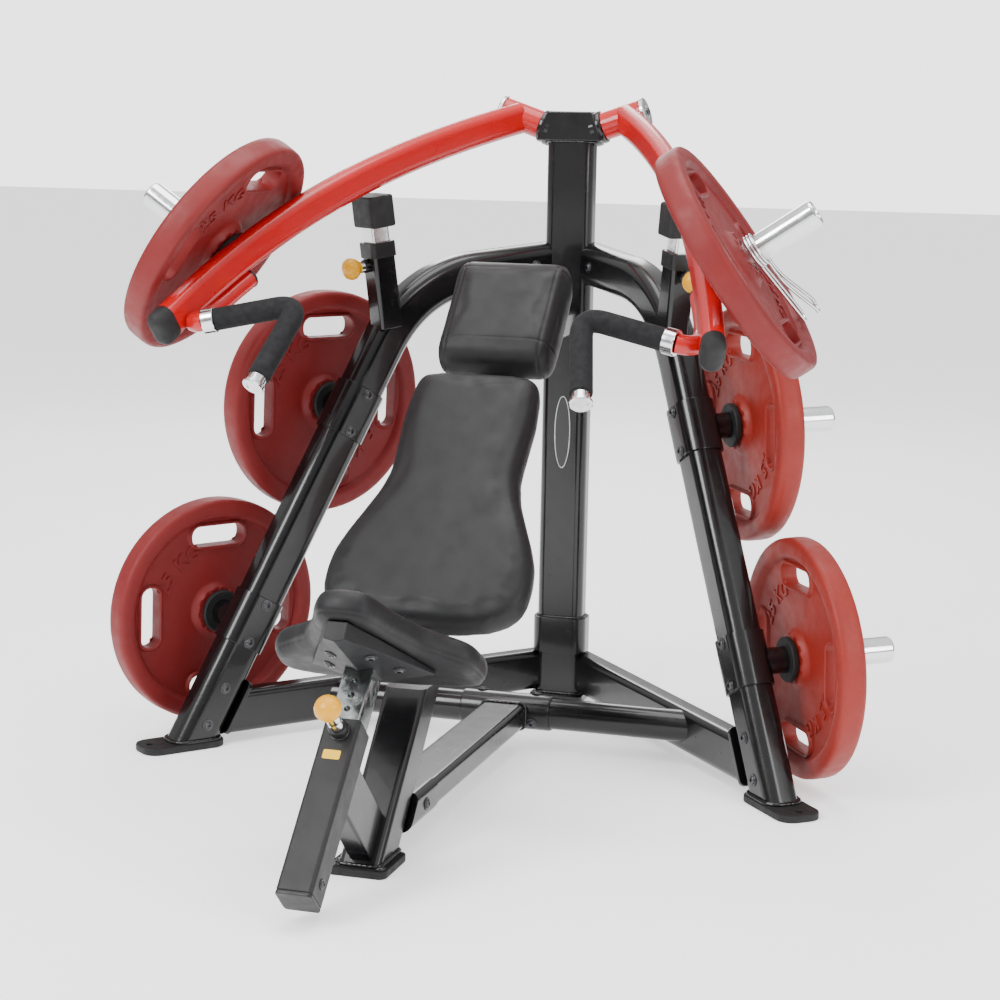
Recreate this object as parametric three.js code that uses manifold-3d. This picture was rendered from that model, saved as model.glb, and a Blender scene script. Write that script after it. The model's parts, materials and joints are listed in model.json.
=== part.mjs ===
// Plate-loaded chest press machine with two swinging press arms and a sliding seat.
// Millimetres, +Z up. The user sits facing -Y, so the user's left is +X.
import * as THREE from 'three';
import { mergeVertices } from 'three/addons/utils/BufferGeometryUtils.js';
import Module from 'manifold-3d';

// Clearance left between pieces that touch.
const GAP = 0.3;

// Mast and its head.
const MAST_WIDTH = 98;
const MAST_DEPTH = 60;
const MAST_CORNER = 20;
const MAST_TOP = 1190;
const FOOT_THICKNESS = 14;
const FLOOR = 10;
const FOOT_TOP = FLOOR + FOOT_THICKNESS;
const PIVOT_ORIGIN_Z = 1198.1;
const PIVOT_TILT = THREE.MathUtils.degToRad(19);
const PIVOT_FLANGE_OUT = 70;
const PIVOT_DISC_IN = 156.5;
const PIVOT_DISC_OUT = 165;
const PIVOT_SHAFT_RADIUS = 14;
const ARM_HUB_RADIUS = 29;

// The two rear legs lie in upright planes that fan out from the mast.
const LEG_YAW = THREE.MathUtils.degToRad(-50.2);
const LEG_APEX_Y = 60;
const LEG_SLOPE = -0.558;
const LEG_FLOOR_REACH = 911.5;
const LEG_WIDTH = 85;
const LEG_DEPTH = 68;
const LEG_CORNER = 25;
const BEAM_DEPTH = 50;
const BEAM_LOW = 28;
const BEAM_HIGH = 112;
const FLANGE_REACH_Z = 104;

// Cross tube, centre beam and front upright.
const CROSS_Y = -390;
const CROSS_Z = 77;
const CROSS_RADIUS = 31;
const CENTRE_BEAM_Z = 75;
const UPRIGHT_WIDTH = 74;
const UPRIGHT_DEPTH = 76;
const UPRIGHT_TOP = 270;

// Seat guide, seat post and their shared square section.
const GUIDE_SIZE = 60;
const GUIDE_LENGTH = 300;
const GUIDE_BORE = 51;
const POST_SIZE = 50;
const POST_HOLE_PITCH = 25;

// Press arm centreline on the user's left, as four Bezier points.
const ARM_BEZIER = [[113, -10, 1234], [263, -257, 1170], [398, -581, 1074], [490, -912, 866]];
const ARM_HEIGHT = 64;
const ARM_WIDTH = 40;
const ARM_STEPS = 14;
const ARM_CORNER = 19.5;
const HANDLE_RADIUS = 17;
const GRIP_RADIUS = 20;
const GRIP_CORE_RADIUS = 11;

// Handle grip: the chrome ring where it starts, the corner of its bend and its free end.
const GRIP_RING = new THREE.Vector3(417, -895, 870);
const GRIP_CORNER = new THREE.Vector3(255, -871, 904);
const GRIP_TIP = new THREE.Vector3(287, -983, 785);

// Weight plates and the horns that carry them.
const PLATE_RADIUS = 225;
const PLATE_HALF = 25;
const PLATE_WEB = 11;
const PLATE_BORE = 25.6;
const PLATE_SIDES = 20;
const SLOT_REACH = 152;
const HORN_RADIUS = 25;
const FLANGE_RADIUS = 42.5;
const CLIP_ANGLE = THREE.MathUtils.degToRad(-48);
const ARM_PLATE_CENTRE = [487.4, -708.2, 994];
const ARM_PLATE_AXIS = [0.827, 0.042, 0.561];
const STORAGE_AXIS = [0.828, 0.559, 0.04];
const STORAGE = [
  { name: 'mid', centre: [436.6, -293.5, 660.2], collarZ: 650 },
  { name: 'low', centre: [594, -483.5, 254.4], collarZ: 247 },
];

// Cushion outlines as half width against distance along the cushion.
const SEAT_THICKNESS = 48;
const SEAT_OUTLINE = [
  [0, -18], [20, -16], [36, -10], [47, 4], [58, 36], [69, 67], [104, 128], [145, 153], [164, 166],
  [173, 180], [180, 229], [170, 258], [146, 274], [115, 288], [60, 298], [0, 301],
];
const BACK_THICKNESS = 58;
const BACK_OUTLINE = [
  [0, 0], [60, 0], [92, 3], [106, 13], [112, 48], [117, 120], [117, 193], [120, 239], [136, 282],
  [159, 335], [176, 376], [184, 414], [184, 454], [178, 482], [160, 503], [130, 519], [70, 528],
  [0, 529],
];

const wasm = await Module();
wasm.setup();

const X = new THREE.Vector3(1, 0, 0);
const Y = new THREE.Vector3(0, 1, 0);
const Z = new THREE.Vector3(0, 0, 1);
const v = (x, y, z) => new THREE.Vector3(x, y, z);

const MATERIALS = {
  black: { color: 0x101114, roughness: 0.35, metalness: 0.3 },
  red: { color: 0xb81a17, roughness: 0.3, metalness: 0.2 },
  chrome: { color: 0xd0d2d4, roughness: 0.15, metalness: 1 },
  coating: { color: 0x8c3230, roughness: 0.65, metalness: 0 },
  vinyl: { color: 0x2a2a2c, roughness: 0.55, metalness: 0 },
  foam: { color: 0x26262a, roughness: 0.9, metalness: 0 },
  rubber: { color: 0x161616, roughness: 0.8, metalness: 0 },
  plastic: { color: 0x1b1b1d, roughness: 0.5, metalness: 0 },
  amber: { color: 0xd98a1c, roughness: 0.3, metalness: 0 },
  charcoal: { color: 0x2e2f31, roughness: 0.45, metalness: 0.3 },
};
for (const [name, look] of Object.entries(MATERIALS)) {
  MATERIALS[name] = new THREE.MeshStandardMaterial({ name, ...look });
}

// A path through sample points that stay exactly where they are given.
class Route extends THREE.Curve {
  constructor(points) {
    super();
    this.points = points;
  }

  getPoint(t, target = new THREE.Vector3()) {
    const last = this.points.length - 1;
    const place = THREE.MathUtils.clamp(t, 0, 1) * last;
    const index = Math.min(Math.floor(place), last - 1);
    return target.lerpVectors(this.points[index], this.points[index + 1], place - index);
  }

  getUtoTmapping(u) {
    return u;
  }
}

// Closed triangle geometry turned into a solid that can be joined and cut.
function toSolid(geometry) {
  const bare = geometry.clone();
  bare.deleteAttribute('normal');
  bare.deleteAttribute('uv');
  const merged = mergeVertices(bare, 1e-3);
  const corners = merged.attributes.position.array;
  const index = [];
  for (let i = 0; i < merged.index.count; i += 3) {
    const [a, b, c] = [0, 1, 2].map((k) => merged.index.getX(i + k));
    if (a !== b && b !== c && c !== a) index.push(a, b, c);
  }
  const build = (order) => new wasm.Manifold(new wasm.Mesh({
    numProp: 3,
    vertProperties: new Float32Array(corners),
    triVerts: new Uint32Array(order),
  }));
  const solid = build(index);
  if (solid.volume() > 0) return solid;
  return build(index.reverse());
}

function toGeometry(solid) {
  const mesh = solid.getMesh();
  const geometry = new THREE.BufferGeometry();
  geometry.setAttribute('position', new THREE.BufferAttribute(mesh.vertProperties, 3));
  geometry.setIndex(new THREE.BufferAttribute(mesh.triVerts, 1));
  geometry.computeVertexNormals();
  return geometry;
}

const join = (...solids) => solids.reduce((whole, next) => whole.add(next));
const cut = (solid, ...tools) => tools.reduce((rest, tool) => rest.subtract(tool), solid);

// The biggest piece left after a cut.
function largest(solid) {
  return solid.decompose().sort((a, b) => b.volume() - a.volume())[0];
}

function move(solid, matrix) {
  return solid.transform(matrix.elements);
}

// Matrix whose local Z runs along zAxis and whose local X is as near xAxis as it can be.
function frame(origin, xAxis, zAxis) {
  const z = zAxis.clone().normalize();
  const y = z.clone().cross(xAxis).normalize();
  const x = y.clone().cross(z);
  return new THREE.Matrix4().makeBasis(x, y, z).setPosition(origin);
}

function rounded(width, height, radius) {
  const x = width / 2 - radius;
  const y = height / 2 - radius;
  const quarter = Math.PI / 2;
  const shape = new THREE.Shape();
  shape.moveTo(-x, -y - radius);
  shape.absarc(x, -y, radius, -quarter, 0);
  shape.absarc(x, y, radius, 0, quarter);
  shape.absarc(-x, y, radius, quarter, 2 * quarter);
  shape.absarc(-x, -y, radius, 2 * quarter, 3 * quarter);
  return shape;
}

function circle(radius, sides = 16) {
  const points = [];
  for (let i = 0; i < sides; i += 1) {
    const angle = (i / sides) * 2 * Math.PI;
    points.push(new THREE.Vector2(radius * Math.cos(angle), radius * Math.sin(angle)));
  }
  return new THREE.Shape(points);
}

function polygon(pairs) {
  return new THREE.Shape(pairs.map(([x, y]) => new THREE.Vector2(x, y)));
}

function prism(shape, length, at, curveSegments = 1) {
  const options = { depth: length, bevelEnabled: false, curveSegments };
  return toSolid(new THREE.ExtrudeGeometry(shape, options).applyMatrix4(at));
}

function sweep(shape, points) {
  const options = { steps: points.length - 1, extrudePath: new Route(points), curveSegments: 1 };
  return toSolid(new THREE.ExtrudeGeometry(shape, options));
}

function rod(from, to, radius, sides = 20) {
  const axis = to.clone().sub(from);
  const tube = new THREE.CylinderGeometry(radius, radius, axis.length(), sides);
  tube.translate(0, axis.length() / 2, 0);
  tube.applyQuaternion(new THREE.Quaternion().setFromUnitVectors(Y, axis.normalize()));
  return toSolid(tube.translate(from.x, from.y, from.z));
}

// Turned shape about local Z from (radius, height) pairs.
function turned(pairs, sides, at = new THREE.Matrix4()) {
  const profile = pairs.map(([r, z]) => new THREE.Vector2(r, z));
  return toSolid(new THREE.LatheGeometry(profile, sides).rotateX(Math.PI / 2).applyMatrix4(at));
}

// Everything on the far side of a plane.
function beyond(point, normal) {
  const block = new THREE.BoxGeometry(4000, 4000, 2000).translate(0, 0, 1000);
  const side = Math.abs(normal.x) > 0.9 ? Y : X;
  return toSolid(block.applyMatrix4(frame(point, side, normal)));
}

// Sample points of a rounded corner.
function bend(from, corner, to, steps) {
  return new THREE.QuadraticBezierCurve3(from, corner, to).getPoints(steps);
}

function cushion(pairs, thickness, edge) {
  const half = new THREE.SplineCurve(pairs.map(([x, y]) => new THREE.Vector2(x, y))).getPoints(18);
  const mirrored = half.slice(1, -1).reverse().map((p) => new THREE.Vector2(-p.x, p.y));
  const geometry = new THREE.ExtrudeGeometry(new THREE.Shape([...half, ...mirrored]), {
    depth: thickness - 2 * edge,
    bevelThickness: edge,
    bevelSize: edge,
    bevelOffset: -edge,
    bevelSegments: 2,
  });
  return toSolid(geometry.translate(0, 0, edge));
}

const object = new THREE.Group();
object.name = 'chest_press_machine';

function group(name, parent, matrix = new THREE.Matrix4()) {
  const node = new THREE.Group();
  node.name = name;
  matrix.decompose(node.position, node.quaternion, node.scale);
  parent.add(node);
  return node;
}

function add(parent, name, solid, material) {
  const mesh = new THREE.Mesh(toGeometry(solid), MATERIALS[material]);
  mesh.name = name;
  parent.add(mesh);
}

// Reference frames shared by several pieces.
const LEG_FRAME = frame(v(0, LEG_APEX_Y, 0), v(Math.cos(LEG_YAW), Math.sin(LEG_YAW), 0), Z);
const TO_LEG_FRAME = LEG_FRAME.clone().invert();
const LEG_NORMAL = v(-Math.sin(LEG_YAW), Math.cos(LEG_YAW), 0);
const PIVOT_AXIS = v(Math.cos(PIVOT_TILT), 0, Math.sin(PIVOT_TILT));
const pivotPoint = (t) => v(0, 0, PIVOT_ORIGIN_Z).addScaledVector(PIVOT_AXIS, t);
const UPRIGHT_RISE = v(0, 0.6698, 0.7426);
const UPRIGHT_BACK = v(0, 0.7426, -0.6698);
const UPRIGHT_BASE = v(0, -1253, 18);
const GUIDE_FRAME = frame(v(0, -1299, 270.9), X, v(0, 0.694, 0.72));
const SEAT_FRAME = frame(v(0, -1341, 452), X, v(0, 0.537, 0.843));
const BACK_FRAME = frame(v(0, -632, 774), X, v(0, -0.74, 0.673));

const mastSection = (grow) => rounded(
  MAST_WIDTH + 2 * grow,
  MAST_DEPTH + 2 * grow,
  MAST_CORNER + grow,
);
const mastTool = prism(mastSection(GAP), MAST_TOP, frame(v(0, 0, 0), X, Z));
const wrongSide = beyond(v(0.2, 0, 0), v(-1, 0, 0));
const mirrorX = (solid) => solid.mirror([1, 0, 0]);

// Mast with its foot and the sleeve around its base, and the head that carries both pivots.
function addMast(parent) {
  const mast = join(
    prism(mastSection(0), MAST_TOP - FLOOR, frame(v(0, 0, FLOOR), X, Z)),
    prism(rounded(114, 76, 26), 76, frame(v(0, 0, 114), X, Z)),
    prism(rounded(116, 96, 16), FOOT_THICKNESS, frame(v(0, 0, FLOOR), X, Z)),
  );
  add(parent, 'mast', mast, 'black');

  const low = MAST_TOP + GAP;
  const side = [[-69, low], [69, low], [50, 1242], [44, 1250], [-44, 1250], [-50, 1242]];
  const housing = prism(polygon(side), 70, frame(v(0, 35, 0), X, Y.clone().negate()));
  const pivot = join(
    rod(pivotPoint(52), pivotPoint(PIVOT_FLANGE_OUT), 34, 24),
    rod(pivotPoint(52), pivotPoint(PIVOT_DISC_IN - GAP), PIVOT_SHAFT_RADIUS, 20),
  );
  const head = join(housing, pivot, mirrorX(pivot));
  add(parent, 'mast_head', cut(head, beyond(v(0, 0, low), v(0, 0, -1))), 'black');
}

// Leg pieces are drawn in the leg plane: X outward along the floor, Y across, Z up.
const legOut = v(1, 0, -LEG_SLOPE).normalize();
const legRise = v(LEG_SLOPE, 0, 1).normalize();
const legAt = (z) => v(LEG_FLOOR_REACH + LEG_SLOPE * z, 0, z);

function legSolid(grow) {
  const shape = rounded(LEG_DEPTH + 2 * grow, LEG_WIDTH + 2 * grow, LEG_CORNER + grow);
  const arch = bend(legAt(778), legAt(907), v(256, 0, 922), 10);
  return sweep(shape, [legAt(-60), legAt(300), ...arch, v(20, 0, 944)]);
}

const legTool = legSolid(GAP);

function beamSolid() {
  const shape = rounded(BEAM_DEPTH, BEAM_HIGH - BEAM_LOW, 14);
  const middle = (BEAM_HIGH + BEAM_LOW) / 2;
  return prism(shape, 900, frame(v(-10, 0, middle), Y, X));
}

function addLegs(left, right) {
  const mastInLeg = move(mastTool, TO_LEG_FRAME);
  const wrongInLeg = move(wrongSide, TO_LEG_FRAME);
  const floorLine = beyond(v(0, 0, FOOT_TOP + GAP), v(0, 0, -1));
  const leg = largest(cut(legSolid(0), mastInLeg, wrongInLeg, floorLine));

  const innerFace = -LEG_WIDTH / 2 - GAP;
  const facePoint = legAt(FLANGE_REACH_Z).addScaledVector(legOut, innerFace);
  const flangePoint = facePoint.clone().addScaledVector(legOut, -9);
  const beam = join(
    cut(beamSolid(), beyond(facePoint, legOut)),
    prism(rounded(76, 112, 12), 9, frame(flangePoint, Y, legOut)),
  );
  const beamEnd = largest(cut(beam, mastInLeg, wrongInLeg));

  const foot = cut(
    prism(rounded(170, 84, 30), FOOT_THICKNESS, frame(v(924, 0, FLOOR), X, Z), 4),
    rod(v(988, 0, 0), v(988, 0, 40), 7, 12),
  );

  const collarShape = rounded(LEG_DEPTH + 10, LEG_WIDTH + 10, LEG_CORNER + 5);
  for (const [label, parent] of [['left', left], ['right', right]]) {
    const plane = group(`${label}_leg_plane`, parent, LEG_FRAME);
    add(plane, `${label}_leg`, leg, 'black');
    add(plane, `${label}_base_beam`, beamEnd, 'black');
    add(plane, `${label}_leg_foot`, foot, 'rubber');
    for (const station of STORAGE) {
      const collarFrom = legAt(station.collarZ).addScaledVector(legRise, -52);
      const collar = prism(collarShape, 104, frame(collarFrom, Y, legRise));
      const centre = v(...station.centre).applyMatrix4(TO_LEG_FRAME);
      const axis = v(...STORAGE_AXIS).transformDirection(TO_LEG_FRAME);
      const along = (t) => centre.clone().addScaledVector(axis, t);
      const hub = join(
        rod(along(-90), along(-PLATE_HALF - 1), HORN_RADIUS, 20),
        rod(along(-PLATE_HALF - 12), along(-PLATE_HALF - 1), FLANGE_RADIUS, 24),
      );
      const bracket = largest(cut(join(collar, hub), legTool));
      add(plane, `${label}_${station.name}_storage_bracket`, bracket, 'black');
    }
  }
}

// Sliding stop on each leg: an outer tube, a chrome slider, its bumper and its pull pin.
function addStops(left, right) {
  const rise = v(0.148, 0, 0.989).normalize();
  const out = v(rise.z, 0, -rise.x);
  const top = v(500, -18, 988);
  const at = (across, up) => top.clone().addScaledVector(out, across).addScaledVector(rise, up);
  const section = (from) => frame(at(0, from), Y, rise);
  const pinUp = -44;
  const tube = join(
    prism(rounded(50, 50, 8), 172, section(-172)),
    prism(rounded(56, 56, 10), 30, section(-30)),
    rod(at(20, pinUp), at(38, pinUp), 13, 16),
  );
  const bored = cut(
    tube,
    prism(rounded(41, 41, 5), 121, section(-120)),
    rod(at(10, pinUp), at(40, pinUp), 5.4, 12),
    legTool,
  );
  const slider = prism(rounded(40, 40, 5), 115, section(-85));
  const armInLeg = move(armTool, TO_LEG_FRAME);
  const bumper = largest(cut(
    prism(rounded(84, 56, 10), 62, section(30 + GAP)),
    armInLeg,
  ));
  const pinFrame = frame(at(0, pinUp), Y, out);
  const pin = turned([
    [0, 22], [5, 22], [5, 38.3], [12, 38.3], [12, 46], [15, 50], [20.5, 56], [22, 64], [19, 73],
    [12, 79], [0, 81],
  ], 16, pinFrame);
  for (const [label, parent] of [['left', left], ['right', right]]) {
    const plane = group(`${label}_stop_plane`, parent, LEG_FRAME);
    add(plane, `${label}_stop_tube`, largest(bored), 'black');
    add(plane, `${label}_stop_slider`, slider, 'chrome');
    add(plane, `${label}_stop_bumper`, bumper, 'rubber');
    add(plane, `${label}_stop_pin`, pin, 'amber');
  }
}

// Cross tube, centre beam, front upright and front foot.
function addBase(parent) {
  const crossAt = (x) => v(x, CROSS_Y, CROSS_Z);
  const crossRaw = rod(crossAt(-420), crossAt(420), CROSS_RADIUS, 28);
  const beamFace = v(0, LEG_APEX_Y, 0).addScaledVector(LEG_NORMAL, -BEAM_DEPTH / 2 - GAP);
  const leftCut = beyond(beamFace, LEG_NORMAL);
  add(parent, 'cross_tube', cut(crossRaw, leftCut, mirrorX(leftCut)), 'black');

  const beamStart = frame(v(0, CROSS_Y - 10, CENTRE_BEAM_Z), X, Y.clone().negate());
  const sleeveStart = frame(v(0, -975, CENTRE_BEAM_Z), X, Y.clone().negate());
  const uprightRear = UPRIGHT_BASE.clone().addScaledVector(UPRIGHT_BACK, UPRIGHT_DEPTH + GAP);
  const centre = cut(
    join(
      prism(rounded(88, 50, 12), 790, beamStart),
      prism(rounded(94, 56, 15), 215, sleeveStart),
      rod(crossAt(-90), crossAt(88), CROSS_RADIUS + 4, 28),
    ),
    rod(crossAt(-95), crossAt(95), CROSS_RADIUS + GAP, 28),
    beyond(uprightRear, UPRIGHT_BACK.clone().negate()),
  );
  add(parent, 'centre_beam', largest(centre), 'black');

  const uprightStart = frame(UPRIGHT_BASE, X, UPRIGHT_RISE);
  const shift = new THREE.Matrix4().makeTranslation(0, UPRIGHT_DEPTH / 2, -120);
  const upright = cut(
    prism(rounded(UPRIGHT_WIDTH, UPRIGHT_DEPTH, 12), 600, uprightStart.multiply(shift)),
    beyond(v(0, 0, FOOT_TOP + GAP), v(0, 0, -1)),
    beyond(v(0, 0, UPRIGHT_TOP), Z),
  );
  add(parent, 'front_upright', upright, 'black');
  const foot = prism(rounded(104, 116, 14), FOOT_THICKNESS, frame(v(0, -1206, FLOOR), X, Z));
  add(parent, 'front_foot', foot, 'rubber');
}

// Guide tube for the seat post, its strut and the pull pin. Local Z runs up the tube.
function addGuide(parent) {
  const guide = group('seat_guide', parent, GUIDE_FRAME);
  const up = (from) => frame(v(0, 0, from), X, Z);
  const pinZ = -24;
  const boss = rod(v(0, -26, pinZ), v(0, -46, pinZ), 15, 16);
  const tube = cut(
    join(prism(rounded(GUIDE_SIZE, GUIDE_SIZE, 7), GUIDE_LENGTH, up(-GUIDE_LENGTH)), boss),
    prism(rounded(GUIDE_BORE, GUIDE_BORE, 4), GUIDE_LENGTH + 2, up(-GUIDE_LENGTH - 1)),
    rod(v(0, -10, pinZ), v(0, -50, pinZ), 5.4, 12),
  );
  add(guide, 'guide_tube', tube, 'charcoal');
  const cap = prism(rounded(GUIDE_SIZE, GUIDE_SIZE, 7), 7, up(-GUIDE_LENGTH - 7 - GAP));
  add(guide, 'guide_end_cap', cap, 'plastic');

  const pinFrame = frame(v(0, 0, pinZ), X, Y.clone().negate());
  const pin = turned([
    [0, 27], [5, 27], [5, 46.3], [12, 46.3], [12, 82], [16, 85], [21, 92], [22, 100], [19, 110],
    [12, 117], [0, 119],
  ], 16, pinFrame);
  add(guide, 'seat_pin', pin, 'amber');

  const strutFrom = frame(v(0, GUIDE_SIZE / 2 + GAP, -86.5), X, Y);
  const uprightFace = UPRIGHT_BASE.clone().addScaledVector(UPRIGHT_BACK, -GAP);
  const backToGuide = GUIDE_FRAME.clone().invert();
  const strut = cut(
    prism(rounded(40, 87, 6), 260, strutFrom),
    move(beyond(uprightFace, UPRIGHT_BACK), backToGuide),
  );
  add(guide, 'guide_strut', strut, 'black');
}

// Seat cushion, its folded bracket and the chrome post. Local Y runs rearward, Z is up.
function addSeat(parent) {
  const seat = group('seat_carriage', parent, SEAT_FRAME);
  add(seat, 'seat_pad', cushion(SEAT_OUTLINE, SEAT_THICKNESS, 16), 'vinyl');

  const gable = [[-107, -3], [-107, -10], [0, -36], [107, -10], [107, -3]];
  const plan = [[-17, -8], [17, -8], [47, 55], [107, 193], [-107, 193], [-47, 55]];
  const folded = prism(polygon(gable), 210, frame(v(0, 200, 0), X, Y.clone().negate()));
  const outline = prism(polygon(plan), 60, frame(v(0, 0, -50), X, Z));
  const bracket = folded.intersect(outline);
  add(seat, 'seat_bracket', bracket, 'black');

  const guideToSeat = SEAT_FRAME.clone().invert().multiply(GUIDE_FRAME);
  const holes = [];
  for (let i = 0; i < 5; i += 1) {
    const z = 70 - i * POST_HOLE_PITCH;
    holes.push(rod(v(0, -30, z), v(0, -12, z), 5.5, 12));
  }
  const post = cut(
    move(cut(
      prism(rounded(POST_SIZE, POST_SIZE, 4), 380, frame(v(0, 0, -240), X, Z)),
      ...holes,
    ), guideToSeat),
    beyond(v(0, 0, -8), Z),
    bracket.translate([0, 0, -GAP]),
  );
  add(seat, 'seat_post', largest(post), 'chrome');
}

// Back cushion, head cushion and the spine behind them. Local Y runs up, Z is forward.
function addBack(parent) {
  const back = group('back_rest', parent, BACK_FRAME);
  const drawnUp = new THREE.Matrix4().makeScale(1, -1, 1);
  const lowered = new THREE.Matrix4().makeTranslation(0, 0, -BACK_THICKNESS);
  const pad = move(cushion(BACK_OUTLINE, BACK_THICKNESS, 18), lowered.multiply(drawnUp));
  add(back, 'back_pad', pad, 'vinyl');

  const roll = rounded(88, 244, 42);
  const headFrame = frame(v(-105, 176, -29 - 44), Z, X);
  const head = toSolid(new THREE.ExtrudeGeometry(roll, {
    depth: 210 - 28,
    bevelThickness: 14,
    bevelSize: 14,
    bevelOffset: -14,
    bevelSegments: 2,
    curveSegments: 4,
  }).translate(0, 0, 14).applyMatrix4(headFrame));
  add(back, 'head_pad', head, 'vinyl');

  const bar = prism(rounded(90, 31, 8), 640, frame(v(0, -400, -133.5), X, Y));
  const standoff = (y) => prism(
    rounded(90, 44, 4),
    BACK_THICKNESS + 2,
    frame(v(0, y, -118.5), X, Z),
  );
  const worldToBack = BACK_FRAME.clone().invert();
  const strutAt = frame(v(0, -450, 820), X, Y);
  const strut = move(prism(rounded(60, 56, 10), 419.7, strutAt), worldToBack);
  const frontOfBar = beyond(v(0, 0, -120), Z);
  const spine = join(bar, standoff(-60), standoff(-340), cut(strut, frontOfBar));
  add(back, 'pad_spine', spine, 'black');
}

// Press arm: drawn for the user's left and mirrored for the right.
const armPoints = new THREE.CubicBezierCurve3(...ARM_BEZIER.map((p) => v(...p)))
  .getSpacedPoints(ARM_STEPS);
const armShape = (grow) => rounded(ARM_HEIGHT + 2 * grow, ARM_WIDTH + 2 * grow, ARM_CORNER + grow);
const armTool = sweep(armShape(GAP), armPoints);
const armFrames = new Route(armPoints).computeFrenetFrames(ARM_STEPS);

function handlePath() {
  const outward = GRIP_RING.clone().sub(GRIP_CORNER).normalize();
  const points = [];
  for (let i = 10; i <= 12; i += 1) {
    points.push(armPoints[i].clone().addScaledVector(armFrames.normals[i], 48));
  }
  const start = points[points.length - 1];
  const turn = new THREE.CubicBezierCurve3(
    start,
    start.clone().addScaledVector(armFrames.tangents[12], 60),
    GRIP_RING.clone().addScaledVector(outward, 55),
    GRIP_RING,
  );
  return [...points, ...turn.getPoints(8).slice(1)];
}

function gripPath() {
  const inward = GRIP_CORNER.clone().sub(GRIP_RING).normalize();
  const down = GRIP_TIP.clone().sub(GRIP_CORNER).normalize();
  const arc = bend(
    GRIP_CORNER.clone().addScaledVector(inward, -45),
    GRIP_CORNER,
    GRIP_CORNER.clone().addScaledVector(down, 45),
    6,
  );
  return { inward, down, arc };
}

function addArms(left, right) {
  const bore = rod(pivotPoint(60), pivotPoint(170), PIVOT_SHAFT_RADIUS + GAP + 0.1, 20);
  const hub = rod(
    pivotPoint(PIVOT_FLANGE_OUT + GAP),
    pivotPoint(PIVOT_DISC_IN - GAP),
    ARM_HUB_RADIUS,
    24,
  );
  const arm = cut(join(sweep(armShape(0), armPoints), hub), bore);

  const end = armPoints[ARM_STEPS].clone().addScaledVector(armFrames.tangents[ARM_STEPS], GAP);
  const capAt = frame(end, armFrames.normals[ARM_STEPS], armFrames.tangents[ARM_STEPS]);
  const cap = toSolid(new THREE.ExtrudeGeometry(rounded(66, 42, 18), {
    depth: 4,
    bevelThickness: 9,
    bevelSize: 9,
    bevelOffset: -9,
    bevelSegments: 2,
    curveSegments: 2,
  }).translate(0, 0, 9).applyMatrix4(capAt));

  const { inward, down, arc } = gripPath();
  const ringFace = GRIP_RING.clone().addScaledVector(inward, -11 - GAP);
  const handle = largest(cut(
    sweep(circle(HANDLE_RADIUS, 16), handlePath()),
    armTool,
    beyond(ringFace, inward),
  ));
  const foamStart = GRIP_RING.clone().addScaledVector(inward, 11 + GAP);
  const gripPoints = [foamStart, ...arc, GRIP_TIP];
  const longer = [GRIP_RING, ...arc, GRIP_TIP.clone().addScaledVector(down, 5)];
  const foam = cut(
    sweep(circle(GRIP_RADIUS, 16), gripPoints),
    sweep(circle(GRIP_CORE_RADIUS + GAP, 12), longer),
  );
  const tipOut = (t) => GRIP_TIP.clone().addScaledVector(down, t);
  const core = join(
    sweep(circle(GRIP_CORE_RADIUS, 12), longer),
    rod(
      GRIP_RING.clone().addScaledVector(inward, -11),
      GRIP_RING.clone().addScaledVector(inward, 11),
      23,
      20,
    ),
    rod(tipOut(GAP), tipOut(16), 16, 16),
    rod(tipOut(16), tipOut(23), 20, 20),
  );

  const centre = v(...ARM_PLATE_CENTRE);
  const axis = v(...ARM_PLATE_AXIS).normalize();
  const along = (t) => centre.clone().addScaledVector(axis, t);
  const horn = largest(cut(
    join(
      rod(along(-50), along(158), HORN_RADIUS, 20),
      rod(along(158), along(161), HORN_RADIUS - 3, 20),
      rod(along(-40), along(-PLATE_HALF - 1), FLANGE_RADIUS, 24),
    ),
    armTool,
  ));
  const discs = turned([
    [0, PIVOT_DISC_IN], [31, PIVOT_DISC_IN], [31, PIVOT_DISC_OUT - 2], [29, PIVOT_DISC_OUT],
    [0, PIVOT_DISC_OUT],
  ], 28, frame(v(0, 0, PIVOT_ORIGIN_Z), Y, PIVOT_AXIS));

  for (const [label, parent] of [['left', left], ['right', right]]) {
    add(parent, `${label}_pivot_disc`, discs, 'chrome');
    add(parent, `${label}_arm`, arm, 'red');
    add(parent, `${label}_arm_end_cap`, cap, 'rubber');
    add(parent, `${label}_handle_tube`, handle, 'red');
    add(parent, `${label}_grip_core`, core, 'chrome');
    add(parent, `${label}_grip`, foam, 'foam');
    add(parent, `${label}_arm_horn`, horn, 'chrome');
  }
}

// Weight plate about local Z with four finger slots through its web.
function plateSolid() {
  const rim = PLATE_HALF;
  const web = PLATE_WEB;
  const half = [
    [PLATE_BORE, -rim], [50, -rim], [57, -web], [187, -web], [195, -rim + 1], [221, -rim],
    [PLATE_RADIUS, -rim + 4],
  ];
  const mirrored = half.map(([r, z]) => [r, -z]).reverse();
  const body = turned([...half, ...mirrored, half[0]], PLATE_SIDES);
  const slots = [0, 1, 2, 3].map((i) => {
    const turn = new THREE.Matrix4().makeRotationZ((i * Math.PI) / 2);
    const place = new THREE.Matrix4().makeTranslation(0, SLOT_REACH, -30);
    return prism(rounded(120, 40, 18), 60, turn.multiply(place));
  });
  return cut(body, ...slots);
}

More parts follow.
